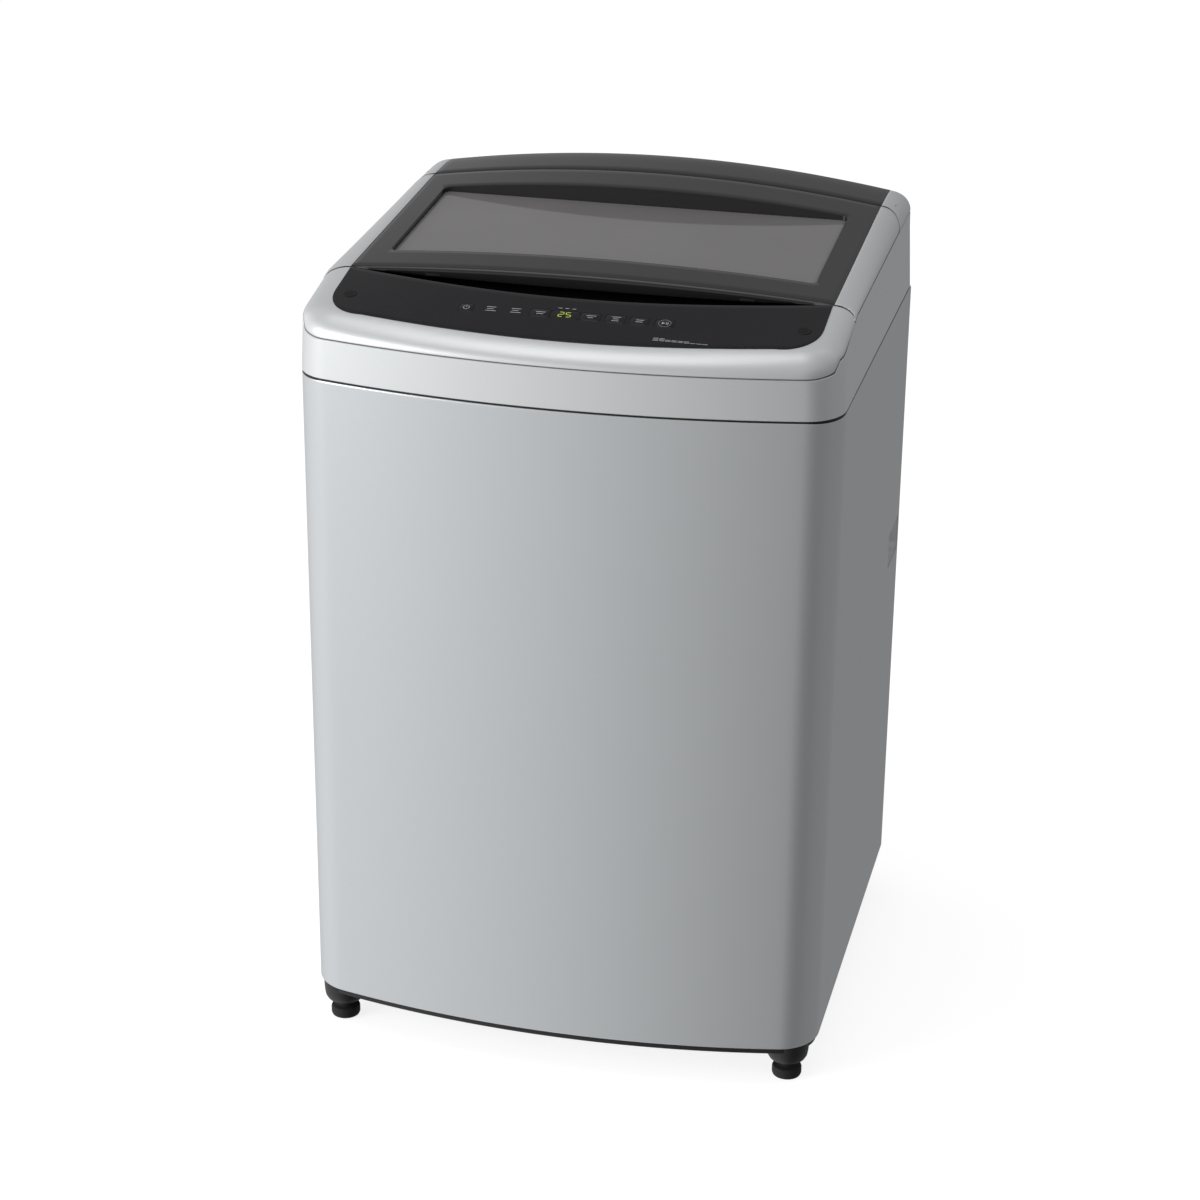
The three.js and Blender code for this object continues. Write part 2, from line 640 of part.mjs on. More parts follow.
// ---- lid ----
const glassZ = (y) => GLASS_FRONT_Z + GLASS_SLOPE * (y - WINDOW.front);
const GLASS_THICK = 4;
const lipDrop = (x) => WALL + 14 * (1 - (x / TRIM_X) ** 2); // deepest at the middle, over the finger recess
const lidSlab = (underside, top) =>
  slab([-TRIM_X + GAP / 2, TRIM_X - GAP / 2], [LID_FRONT, LID_BACK], [8, 3], underside, top);
const justUnder = (x, y) => topZ(x, y) - 1;
const lidFrame = () => {
  const { x, front, back, corner } = WINDOW;
  const hole = upright(roundedRectangle(-x, x, front, back, corner), [900, 1020], 2);
  const wall = 2.5;
  const collar = roundedRectangle(-x - wall, x + wall, front - wall, back + wall, corner + wall);
  const sleeve = upright(collar, [900, 1020], 2)
    .subtract(hole)
    .intersect(lidSlab((u, v) => glassZ(v) - 6, justUnder));
  const lip = box([-TRIM_X + 1, TRIM_X - 1], [LID_FRONT + 1.5, LID_FRONT + 4.5], [900, 1000]).intersect(
    lidSlab((u, v) => topZ(u, v) - lipDrop(u), justUnder),
  );
  const hood = lidSlab(() => HINGE_Z, justUnder);
  const lugs = SIDES.flatMap(([, s]) =>
    [[259, 266], [281.4, TRIM_X - GAP / 2]].map(([a, b]) => {
      const span = s > 0 ? [a, b] : [-b, -a];
      return join(
        bar([span[0], HINGE_Y, HINGE_Z], [span[1], HINGE_Y, HINGE_Z], 7),
        box(span, [HINGE_Y - 7, HINGE_Y + 7], [900, 1000]).intersect(hood),
      );
    }),
  );
  const bores = SIDES.map(([, s]) =>
    bar([s * 256, HINGE_Y, HINGE_Z], [s * 283, HINGE_Y, HINGE_Z], PIN_R + GAP),
  );
  const plate = lidSlab((u, v) => topZ(u, v) - WALL, topZ).intersect(lidRegion).subtract(hole);
  return cut(join(plate, sleeve, lip, ...lugs), ...bores);
};

const lidGlass = () => {
  const { x, front, back, corner } = WINDOW;
  const pane = roundedRectangle(-x + GAP, x - GAP, front + GAP, back - GAP, corner);
  return upright(pane, [900, 1020], 2).intersect(
    slab([-x, x], [front, back], [1, 1], (u, v) => glassZ(v) - GLASS_THICK, (u, v) => glassZ(v)),
  );
};

const LINER_FRONT = -145;
const lidLiner = () => {
  const { x, front, back } = WINDOW;
  const level = (v) => edgeLine(v) - 20;
  const plate = slab(
    [-276, 276],
    [LINER_FRONT, 140],
    [1, 4],
    (u, v) => level(v) - 2.5,
    (u, v) => level(v),
  ).subtract(upright(roundedRectangle(-x + 8, x - 8, front + 8, back - 8, 8), [880, 1020], 2));
  const rim = cut(
    upright(roundedRectangle(-x + 5, x - 5, front + 5, back - 5, 10), [880, 1020], 2),
    upright(roundedRectangle(-x + 8, x - 8, front + 8, back - 8, 8), [880, 1020], 2),
  ).intersect(
    slab([-300, 300], [-140, 160], [1, 2], (u, v) => level(v) - 1, (u, v) => glassZ(v) - GLASS_THICK - GAP),
  );
  const curb = SIDES.map(([, s]) => {
    const span = s > 0 ? [273, 276] : [-276, -273];
    return box(span, [LINER_FRONT, 140], [880, 1020]).intersect(
      slab([-300, 300], [-150, 145], [1, 2], (u, v) => level(v) - 1, (u, v) => edgeLine(v) - WALL - 1.5),
    );
  });
  return join(plate, rim, ...curb);
};

const lidSkin = skin.intersect(lidRegion);
add("lid_frame", lidFrame(), "black");
add("lid_glass", lidGlass(), "glass");
add("lid_liner", lidLiner(), "darkPlastic");
add("lid_trim_right", lidSkin.intersect(rightSide), "silverPlastic");
add("lid_trim_left", lidSkin.intersect(leftSide), "silverPlastic");
for (const [side, s] of SIDES) {
  const pin = bar([s * 259.5, HINGE_Y, HINGE_Z], [s * 282.6, HINGE_Y, HINGE_Z], PIN_R, 16);
  add(`hinge_pin_${side}`, pin, "steel");
}

// ---- water inlet, detergent dispenser, lid switch, cord gland and drain outlet ----
const inletValve = () => {
  const [a, b] = INLET.x;
  const body = box([a - 20, b + 20], [216, 262], [856, 888]);
  const spigots = INLET.x.map((x) => bar([x, 255, INLET.z], [x, REAR_REACH, INLET.z], INLET.r, 20));
  const nozzle = bar([a + 25, 180, 868], [a + 25, 220, 868], 9, 16);
  const bores = INLET.x.map((x) => bar([x, 290, INLET.z], [x, REAR_REACH + 1, INLET.z], 9, 16));
  return cut(join(body, ...spigots, nozzle), ...bores);
};
const dispenserHousing = () => {
  const { x, y, z } = DISPENSER;
  return cut(
    box([-x, x], y, z),
    box([-x + 2.5, x - 2.5], [y[0] - 1, y[1] - 2.5], [z[0] + 2.5, z[1] - 2.5]),
  );
};
const detergentDrawer = () => {
  const x = DISPENSER.x - 4;
  const tray = cut(
    box([-x, x], [154, 258], [857, 897]),
    box([-x + 2, -11], [158, 256], [859, 900]),
    box([-9, x - 2], [158, 256], [859, 900]),
  );
  const face = box([-x - 3, x + 3], [151, 155], [856, 903]);
  const fingerDip = box([-25, 25], [150, 153], [860, 890]);
  return cut(join(tray, face), fingerDip);
};
add("inlet_valve", inletValve(), "white");
add("dispenser_housing", dispenserHousing(), "white");
add("detergent_drawer", detergentDrawer(), "greyPlastic");
add("lid_switch", box([-262, -236], [-118, -88], [DECK_Z[1] + GAP, 912]), "white");
const cordGland = () =>
  turned([[0, -9], [13, -9], [13, -2], [9, -2], [9, 3], [12, 3], [12, 9], [6, 24], [0, 24]], 0, 0, 12);
const drainOutlet = () =>
  turned([[11, -26], [15, -26], [15, -8], [22, -8], [22, -2], [17, -2], [17, 32], [11, 32]], 0, 0, 12);
const facingBack = (mesh, x, z) => {
  mesh.rotation.x = -Math.PI / 2;
  mesh.position.set(x, BACK - 1, z);
};
facingBack(add("cord_gland", cordGland(), "rubber"), CORD.x, CORD.z);
facingBack(add("drain_outlet", drainOutlet(), "greyPlastic"), DRAIN.x, DRAIN.z);

// ---- tub and what hangs under it ----
const outerTub = () => {
  const { r, floor, top } = TUB;
  const outside = [[34, floor], [r - 20, floor], [r, floor + 20], [r, top]];
  const inside = [[r - WALL, top], [r - WALL, floor + 22], [r - 22, floor + 4], [34, floor + 4]];
  const shell = turned([...outside, ...inside]);
  const arms = [-1, 1].flatMap((sx) =>
    [-1, 1].map((sy) => {
      const [x, y] = [sx * RODS.x, TUB_Y + sy * RODS.y];
      const turn = Math.atan2(y - TUB_Y, x);
      const reach = Math.hypot(x, y - TUB_Y);
      const arm = new THREE.BoxGeometry(reach - r + 26, 30, 22);
      arm.translate((reach + r - 20) / 2, 0, BRACKET_Z + 11);
      arm.rotateZ(turn);
      arm.translate(0, TUB_Y, 0);
      const cupTop = BRACKET_Z + 24;
      const cup = turned([[0, BRACKET_Z], [19, BRACKET_Z], [19, cupTop], [0, cupTop]], x, y, 12);
      return cut(join(solid(arm), cup), bar([x, y, BRACKET_Z - 5], [x, y, BRACKET_Z + 30], 6, 12));
    }),
  );
  const keepClear = turned([
    [0, floor + 4],
    [r - 22, floor + 4],
    [r - WALL, floor + 22],
    [r - WALL, top + 5],
    [0, top + 5],
  ]);
  const port = bar([150, 100, floor - 4], [150, 100, floor + 10], 18);
  return cut(join(shell, ...arms.map((arm) => arm.subtract(keepClear))), port);
};
const tubCover = () => {
  const outside = [[206, 822], [212, 834], [266, 834], [266, 808]];
  const inside = [[263.2, 808], [263.2, 830.6], [214, 830.6], [208.6, 820]];
  return turned([...outside, ...inside]);
};
const bearingHousing = () => {
  const seats = [[33, 262], [33, 221], [31.4, 221], [31.4, 210]];
  const outside = [[44, 210], [44, 250], [60, 282], [96, 288], [96, TUB.floor - GAP]];
  return turned([...seats, ...outside, [31.4, TUB.floor - GAP], [31.4, 262]]);
};
const bearing = (z) => turned([[16.4, z], [31, z], [31, z + 16], [16.4, z + 16]]);
const STATOR_TEETH = 12;
const motorStator = () => {
  const core = turned([[46, 176], [78, 176], [78, 204], [46, 204]]);
  const teeth = Array.from({ length: STATOR_TEETH }, (_, i) => {
    const tooth = new THREE.BoxGeometry(46, 22, 24);
    tooth.translate(97, 0, 190);
    tooth.rotateZ((i * 2 * Math.PI) / STATOR_TEETH);
    tooth.translate(0, TUB_Y, 0);
    return solid(tooth);
  });
  return join(core, ...teeth);
};
const drainValve = () => {
  const seat = turned([[0, 256], [26, 256], [26, 299], [17.4, 299], [17.4, 303], [0, 303]], 150, 100, 20);
  const outlet = bar([150, 100, 272], [196, 140, 272], 12, 16);
  const motor = box([100, 144], [118, 160], [256, 292]);
  return join(seat, outlet, motor);
};
const drainHose = () =>
  hose(
    [
      [198.5, 142, 272],
      [212, 153, 268],
      [232, 176, 225],
      [242, 190, 160],
      [245, 212, 112],
      [DRAIN.x, 230, 98.6],
      [DRAIN.x, 244.6, DRAIN.z],
    ],
    12,
    8,
    26,
  );
add("outer_tub", outerTub(), "greyPlastic");
add("tub_cover", tubCover(), "greyPlastic");
add("bearing_housing", bearingHousing(), "zinc");
add("bearing_upper", bearing(266), "steel");
add("bearing_lower", bearing(212), "steel");
add("motor_stator", motorStator(), "copper");
add("drain_valve", drainValve(), "white");
add("drain_hose", drainHose(), "greyPlastic");

// ---- suspension ----
const suspensionRod = (x, y) => {
  const seat = [[0, 288], [17, 288], [17, RODS.seat], [4, RODS.seat]];
  const ball = [[4, 829], [9, 829], [11, 834], [9, 841], [0, 843]];
  return turned([...seat, ...ball], x, y, 12);
};
const SPRING = { r: 12.5, wire: 1.8, turns: 4 };
const suspensionSpring = (x, y) => {
  const rise = BRACKET_Z - RODS.seat - 2 * SPRING.wire - 1.4;
  const perTurn = 6;
  const points = Array.from({ length: SPRING.turns * perTurn + 1 }, (_, i) => {
    const a = (i * 2 * Math.PI) / perTurn;
    const z = RODS.seat + SPRING.wire + 0.7 + (rise * i) / (SPRING.turns * perTurn);
    return [x + SPRING.r * Math.cos(a), y + SPRING.r * Math.sin(a), z];
  });
  return hose(points, SPRING.wire, 4, SPRING.turns * perTurn);
};
for (const [end, sy] of [["front", -1], ["rear", 1]])
  for (const [side, sx] of SIDES) {
    const [x, y] = [sx * RODS.x, TUB_Y + sy * RODS.y];
    add(`suspension_rod_${end}_${side}`, suspensionRod(x, y), "zinc");
    add(`suspension_spring_${end}_${side}`, suspensionSpring(x, y), "steel");
  }

// ---- spin basket ----
const basketWall = () => {
  const { r, floor, top } = BASKET;
  return turned([[r - 1.5, floor + 8], [r, floor + 8], [r, top], [r - 1.5, top]]);
};
const basketBase = () => {
  const { r, floor } = BASKET;
  const hub = 18.4;
  const below = [[hub, floor - 8], [60, floor - 8], [70, floor], [r - 8, floor], [r - 2, floor + 7]];
  const rim = [[r - 2, floor + 20], [r - 5, floor + 20], [r - 5, floor + 9], [r - 12, floor + 4]];
  const above = [[70, floor + 4], [60, floor + 12], [hub, floor + 12]];
  return turned([...below, ...rim, ...above]);
};
const balanceRing = () => {
  const { r, top } = BASKET;
  const inside = [[204, top - 18], [204, top + 18], [214, top + 24], [r + 2, top + 24]];
  const outside = [[r + 2, top + GAP], [r - 2, top + GAP], [r - 2, top - 24], [212, top - 24]];
  return turned([...inside, ...outside]);
};
add("basket_wall", basketWall(), "steel");
add("basket_base", basketBase(), "greyPlastic");
add("balance_ring", balanceRing(), "greyPlastic");
add("spin_shaft", turned([[10.6, 218], [16, 218], [16, 330], [18, 330], [18, 343], [10.6, 343]]), "steel");

// ---- pulsator, its shaft and the rotor ----
const pulsator = () => {
  const below = [[11, 352], [150, 352], [176, 366], [178, 374]];
  const above = [[170, 372], [120, 366], [60, 378], [40, 392], [11, 394]];
  const dish = turned([...below, ...above]);
  const vanes = Array.from({ length: 6 }, (_, i) => {
    const vane = new THREE.BoxGeometry(118, 14, 30);
    vane.translate(97, 0, 376);
    vane.rotateZ((i * Math.PI) / 3);
    vane.translate(0, TUB_Y, 0);
    return solid(vane);
  });
  return join(dish, ...vanes);
};
add("pulsator", pulsator(), "greyPlastic");
add("pulsator_cap", turned([[0, 395], [22, 395], [20, 402], [12, 406], [0, 407]]), "silverPlastic");
add("wash_shaft", turned([[0, 160], [10, 160], [10, 350], [10.4, 350.3], [10.4, 393], [0, 393]]), "steel");
const motorRotor = () => {
  const outside = [[10.4, 156], [134, 156], [138, 160], [138, 206]];
  const inside = [[128, 206], [128, 163], [30, 163], [30, 172], [10.4, 172]];
  return turned([...outside, ...inside]);
};
add("motor_rotor", motorRotor(), "zinc");

export default machine;
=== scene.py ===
"""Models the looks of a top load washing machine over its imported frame.

Every piece is modelled in metres where the frame holds its CAD node: bowed sheet steel, painted mouldings,
a gloss black key panel, a glazed lid, and the wash group that shows when the lid is open. Laid out as an
add-on, run as a script.
"""

import math

import bpy
from mathutils import Matrix, Vector


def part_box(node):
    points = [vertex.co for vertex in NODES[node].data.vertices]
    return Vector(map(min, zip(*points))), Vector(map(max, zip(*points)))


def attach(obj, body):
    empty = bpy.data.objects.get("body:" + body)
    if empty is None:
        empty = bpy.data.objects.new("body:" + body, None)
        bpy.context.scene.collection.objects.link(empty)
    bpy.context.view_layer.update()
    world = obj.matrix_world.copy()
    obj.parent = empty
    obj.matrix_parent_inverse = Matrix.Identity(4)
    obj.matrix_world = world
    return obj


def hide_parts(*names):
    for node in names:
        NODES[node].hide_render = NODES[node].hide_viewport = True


bl_info = {
    "name": "Top load washing machine",
    "version": (1, 0, 0),
    "blender": (4, 5, 0),
    "location": "3D View > Sidebar > Washer",
    "description": "Models a top load washing machine piece by piece over its frame",
    "category": "Add Mesh",
}

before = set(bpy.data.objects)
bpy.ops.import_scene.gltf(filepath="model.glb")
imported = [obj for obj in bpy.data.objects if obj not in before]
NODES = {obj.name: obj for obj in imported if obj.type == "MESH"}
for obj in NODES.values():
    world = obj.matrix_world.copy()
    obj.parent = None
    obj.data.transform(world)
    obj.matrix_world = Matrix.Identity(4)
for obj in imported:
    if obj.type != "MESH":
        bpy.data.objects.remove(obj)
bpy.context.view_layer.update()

# ---- sizes, in metres, from the frame ----
MM = 0.001
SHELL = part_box("cabinet_shell")
HALF = SHELL[1].x
FRONT = SHELL[0].y
BACK = SHELL[1].y
BASE = SHELL[0].z
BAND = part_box("top_cover")[0].z
TUB_Y = (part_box("outer_tub")[0].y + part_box("outer_tub")[1].y) / 2
HINGE = (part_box("hinge_pin_left")[0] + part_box("hinge_pin_left")[1]) / 2
TOP_HALF = HALF - 4.5 * MM
TOP_BACK = 285 * MM
CORNER = 52 * MM
REAR_CORNER = 30 * MM
SHOULDER = 28 * MM
TRIM_X = 284 * MM
LID_FRONT = -155 * MM
LID_BACK = 187 * MM
SEAM = 1.0 * MM  # play left beside a seam
GLASS_FRONT = 0.9455  # height of the pane at the front edge of the window
GLASS_SLOPE = 0.0747  # rise of the pane towards the back
WINDOW = {"x": 253 * MM, "front": -97.5 * MM, "back": 130 * MM, "corner": 8 * MM}
DECK = 0.8838  # the upper face of the deck under the lid
KEY_Y = -235 * MM
KEY_DEPTH = 15 * MM
KEY_GAP = 0.7 * MM  # free space round a key in the film, both sides together
PRINT_LIFT = 0.85 * MM  # prints stand this far over the top's surface, on the film
PER_CORNER = 8  # steps round a corner of a rounded loop
KEYS = {
    "power": (-121 * MM, 17 * MM),
    "course": (-35 * MM, 24 * MM),
    "water_level": (23 * MM, 24 * MM),
    "function": (52 * MM, 24 * MM),
    "option": (79 * MM, 22 * MM),
    "start_pause": (108 * MM, 22 * MM),
}
DISPLAY = (-6 * MM, 34 * MM)
SIDES = {"left": -1, "right": 1}


class Washer_Sizes(bpy.types.PropertyGroup):
    """The sizes that change the machine's look."""

    bow: bpy.props.FloatProperty(
        name="Front bow",
        description="How far the front stands out at its middle",
        default=41 * MM,
        subtype="DISTANCE",
        unit="LENGTH",
    )
    sheet: bpy.props.FloatProperty(
        name="Sheet thickness",
        description="Thickness of the steel cabinet",
        default=1.2 * MM,
        subtype="DISTANCE",
        unit="LENGTH",
    )


def colour_choice(name, description, default):
    return bpy.props.FloatVectorProperty(
        name=name, description=description, default=default, subtype="COLOR", size=3
    )


class Washer_Colours(bpy.types.PropertyGroup):
    """The colours that a maker would offer."""

    cabinet: colour_choice("Cabinet paint", "Paint of the cabinet", (0.70, 0.725, 0.745))
    band: colour_choice("Top paint", "Paint of the top cover", (0.84, 0.86, 0.875))
    panel: colour_choice("Key panel", "Film over the keys", (0.013, 0.0125, 0.015))
    lid: colour_choice("Lid", "Frame of the lid", (0.018, 0.018, 0.0185))


# ---- heights of the top ----
def along(pairs, at):
    """Straight lines between (position, value) pairs, level past both ends."""
    if at <= pairs[0][0]:
        return pairs[0][1]
    for (a, low), (b, high) in zip(pairs, pairs[1:]):
        if at <= b:
            return low + (high - low) * (at - a) / (b - a)
    return pairs[-1][1]


SEAM_LINE = [(-0.280, 0.896), (-0.262, 0.900), (-0.254, 0.912), (LID_FRONT, 0.934), (BACK, 0.946)]
EDGE_LINE = [(FRONT, 0.912), (LID_FRONT, 0.9435), (LID_BACK, 0.968), (0.240, 0.9695), (TOP_BACK, 0.968)]
CROWN_LINE = [(FRONT + SHOULDER, 0.0), (LID_FRONT, 0.010), (TOP_BACK, 0.025)]


def seam_height(y):
    return along(SEAM_LINE, y)


def top_height(x, y):
    return along(EDGE_LINE, y) + along(CROWN_LINE, y) * max(0.0, 1 - (x / TRIM_X) ** 2)


def glass_height(y):
    return GLASS_FRONT + GLASS_SLOPE * (y - WINDOW["front"])


# ---- plan outline ----
def plan(half, front, corner):
    """Radius and centre of the bow, centre of the front corner, and the turn where they meet."""
    bow = bpy.context.scene.washer_sizes.bow
    radius = (HALF**2 + bow**2) / (2 * bow) + (FRONT - front)
    centre_y = front + radius
    corner_x = half - corner
    corner_y = centre_y - math.sqrt((radius - corner) ** 2 - corner_x**2)
    return centre_y, corner_x, corner_y, math.atan2(corner_x, centre_y - corner_y)


# ---- modelling helpers ----
def in_mm(profile, level=0.0):
    """A profile drawn in millimetres over a level, in metres."""
    return [(r * MM, level + z * MM) for r, z in profile]


def deselect():
    if bpy.context.object and bpy.context.object.mode != "OBJECT":
        bpy.ops.object.mode_set(mode="OBJECT")
    bpy.ops.object.select_all(action="DESELECT")


def pick(piece):
    """Makes the piece the only one selected, and the active one."""
    deselect()
    piece.select_set(True)
    bpy.context.view_layer.objects.active = piece


def single_point(name, place):
    """A new object in edit mode that holds one selected vertex."""
    deselect()
    bpy.ops.mesh.primitive_plane_add(size=MM, location=(0, 0, 0))
    piece = bpy.context.object
    piece.name = piece.data.name = name
    bpy.ops.object.mode_set(mode="EDIT")
    bpy.ops.mesh.select_all(action="SELECT")
    bpy.ops.mesh.merge(type="CENTER")
    bpy.ops.transform.translate(value=place)
    return piece


def drawn_line(name, points):
    """A chain of edges through points, left in edit mode and selected."""
    points = [Vector(p) for p in points]
    piece = single_point(name, points[0])
    for a, b in zip(points, points[1:]):
        bpy.ops.mesh.extrude_vertices_move(TRANSFORM_OT_translate={"value": b - a})
    bpy.ops.mesh.select_all(action="SELECT")
    return piece


def spun(centre, angle, steps):
    bpy.ops.mesh.spin(steps=steps, angle=-angle, center=centre, axis=(0, 0, 1))


def drawn_out(offset, steps):
    step = Vector(offset) / steps
    for _ in range(steps):
        bpy.ops.mesh.extrude_region_move(TRANSFORM_OT_translate={"value": step})


def close_up():
    """Merges doubles and points the faces outwards, leaving object mode."""
    bpy.ops.mesh.select_all(action="SELECT")
    bpy.ops.mesh.remove_doubles(threshold=0.01 * MM)
    bpy.ops.mesh.normals_make_consistent(inside=False)
    bpy.ops.object.mode_set(mode="OBJECT")


def turned(name, profile, centre=(0, None), steps=72):
    """A turned piece: a closed (radius, z) profile spun about a vertical axis."""
    x, y = centre[0], TUB_Y if centre[1] is None else centre[1]
    closed = profile if profile[0][0] == 0 else [*profile, profile[0]]
    piece = drawn_line(name, [(x + r, y, z) for r, z in closed])
    spun((x, y, 0), 2 * math.pi, steps)
    close_up()
    return piece


def reshaped(piece, move):
    """Every point goes where move(point) says."""
    for vertex in piece.data.vertices:
        vertex.co = move(vertex.co)
    return piece


def modified(piece, kind, **settings):
    pick(piece)
    modifier = piece.modifiers.new(kind.title(), kind)
    for name, value in settings.items():
        setattr(modifier, name, value)
    bpy.ops.object.modifier_apply(modifier=modifier.name)
    return piece


def faces_point(piece, reference, outwards=True):
    """Turns an open sheet round if its faces, taken together, don't look away from the reference point."""
    reference = Vector(reference)
    away = sum(face.area * face.normal.dot(face.center - reference) for face in piece.data.polygons)
    if (away > 0) != outwards:
        pick(piece)
        bpy.ops.object.mode_set(mode="EDIT")
        bpy.ops.mesh.select_all(action="SELECT")
        bpy.ops.mesh.flip_normals()
        bpy.ops.object.mode_set(mode="OBJECT")
    return piece


def walled(piece, wall, edge=0.5 * MM, angle=40):
    """Gives a sheet its thickness, inwards, and breaks its edges."""
    modified(piece, "SOLIDIFY", thickness=wall, offset=-1.0, use_even_offset=True)
    return eased(piece, edge, angle)


def eased(piece, edge=0.5 * MM, angle=40, segments=2):
    return modified(
        piece, "BEVEL", width=edge, segments=segments, limit_method="ANGLE", angle_limit=math.radians(angle)
    )


def wrapped(name, section, half, front, corner, side_end, back=None, rear=None, stop_x=0.0, move=None):
    """A sheet that follows the plan outline, both halves of it.

    A section of (inset, z) points is swept round the bow, the front corner and the side, and on round the
    back to stop_x where back is given."""
    centre_y, corner_x, corner_y, lean = plan(half, front, corner)
    piece = drawn_line(name, [(0, front + inset, z) for inset, z in section])
    spun((0, centre_y, 0), lean, 28)
    spun((corner_x, corner_y, 0), math.pi / 2 - lean, 14)
    drawn_out((0, side_end - corner_y, 0), 24)
    if back is not None:
        spun((half - rear, back - rear, 0), math.pi / 2, 8)
        drawn_out((stop_x - (half - rear), 0, 0), 12)
    bpy.ops.mesh.select_all(action="SELECT")
    bpy.ops.mesh.remove_doubles(threshold=0.01 * MM)
    bpy.ops.object.mode_set(mode="OBJECT")
    if move:
        reshaped(piece, move)
    modified(piece, "MIRROR", use_axis=(True, False, False), merge_threshold=0.02 * MM)
    return faces_point(piece, (0, 0, section[0][1]))


def formed(name, columns, rows, place, joined=False):
    """A sheet of columns by rows cells, each point put where place(u, v) says, with u and v from 0 to 1."""
    deselect()
    bpy.ops.mesh.primitive_grid_add(x_subdivisions=columns, y_subdivisions=rows, size=1, location=(0, 0, 0))
    piece = bpy.context.object
    piece.name = piece.data.name = name
    reshaped(piece, lambda p: Vector(place(p.x + 0.5, p.y + 0.5)))
    if joined:
        bpy.ops.object.mode_set(mode="EDIT")
        close_up()
    return piece


def rounded_loop(x, y, corner, per_corner=PER_CORNER):
    """Points round a rectangle with rounded corners, anticlockwise, the same number for any size."""
    centres = [(x[1], y[0], -1), (x[1], y[1], 0), (x[0], y[1], 1), (x[0], y[0], 2)]
    points = []
    for cx, cy, quarter in centres:
        mx = cx - math.copysign(corner, cx - (x[0] + x[1]) / 2)
        my = cy - math.copysign(corner, cy - (y[0] + y[1]) / 2)
        for i in range(per_corner + 1):
            a = (quarter + i / per_corner) * math.pi / 2
            points.append((mx + corner * math.cos(a), my + corner * math.sin(a)))
    return points


def ringed(name, rings):
    """A sheet through rings of points, all with the same count, each ring closed."""
    around, across = len(rings[0]), len(rings) - 1

    def place(u, v):
        return rings[round(v * across)][round(u * around) % around]

    return formed(name, around, across, place, joined=True)


def block(name, low, high, edge=1.0 * MM, segments=3):
    """A box between two corners with rounded edges."""
    low, high = Vector(low), Vector(high)
    deselect()
    bpy.ops.mesh.primitive_cube_add(size=1, location=(0, 0, 0))
    piece = bpy.context.object
    piece.name = piece.data.name = name
    middle = (low + high) / 2
    size = high - low
    reshaped(piece, lambda p: Vector((p.x * size.x, p.y * size.y, p.z * size.z)) + middle)
    return eased(piece, edge, 30, segments)


def cut_out(piece, tool):
    """Takes the tool's shape out of the piece."""
    modified(piece, "BOOLEAN", operation="DIFFERENCE", object=tool, solver="EXACT")
    bpy.data.objects.remove(tool, do_unlink=True)
    return piece


def united(name, pieces):
    """Several meshes as one object."""
    deselect()
    for piece in pieces:
        piece.select_set(True)
    bpy.context.view_layer.objects.active = pieces[0]
    bpy.ops.object.join()
    whole = bpy.context.object
    whole.name = whole.data.name = name
    return whole


def mirrored(piece, name):
    """The same piece on the other side, with a mesh of its own."""
    pick(piece)
    bpy.ops.object.duplicate()
    twin = bpy.context.object
    twin.name = twin.data.name = name
    reshaped(twin, lambda p: Vector((-p.x, p.y, p.z)))
    bpy.ops.object.mode_set(mode="EDIT")
    bpy.ops.mesh.select_all(action="SELECT")
    bpy.ops.mesh.flip_normals()
    bpy.ops.object.mode_set(mode="OBJECT")
    return twin


def done(piece, body, paint, replaced=(), angle=38):
    """Smooths and paints a piece, hangs it on the body it rides on, and hides the CAD nodes it stands for."""
    pick(piece)
    bpy.ops.object.shade_smooth_by_angle(angle=math.radians(angle))
    piece.data.materials.clear()
    piece.data.materials.append(finish(paint))
    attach(piece, body)
    if replaced:
        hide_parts(*replaced)
    return piece


# ---- materials ----
class Field:
    """A value that changes over a surface: a node socket with arithmetic."""

    def __init__(self, tree, socket):
        self.tree = tree
        self.socket = socket

    def math(self, operation, *others, clamp=False):
        node = self.tree.nodes.new("ShaderNodeMath")
        node.operation = operation
        node.use_clamp = clamp
        for place, value in zip(node.inputs, (self, *others)):
            feed(self.tree, place, value)
        return Field(self.tree, node.outputs[0])

    def __add__(self, other):
        return self.math("ADD", other)

    def __mul__(self, other):
        return self.math("MULTIPLY", other)

    def __sub__(self, other):
        return self.math("SUBTRACT", other)

    def __rsub__(self, other):
        return self.math("MULTIPLY", -1.0).math("ADD", other)

    def above(self, limit):
        return self.math("GREATER_THAN", limit)

    __radd__ = __add__
    __rmul__ = __mul__


def feed(tree, place, value):
    if isinstance(value, Field):
        tree.links.new(value.socket, place)
    else:
        place.default_value = value


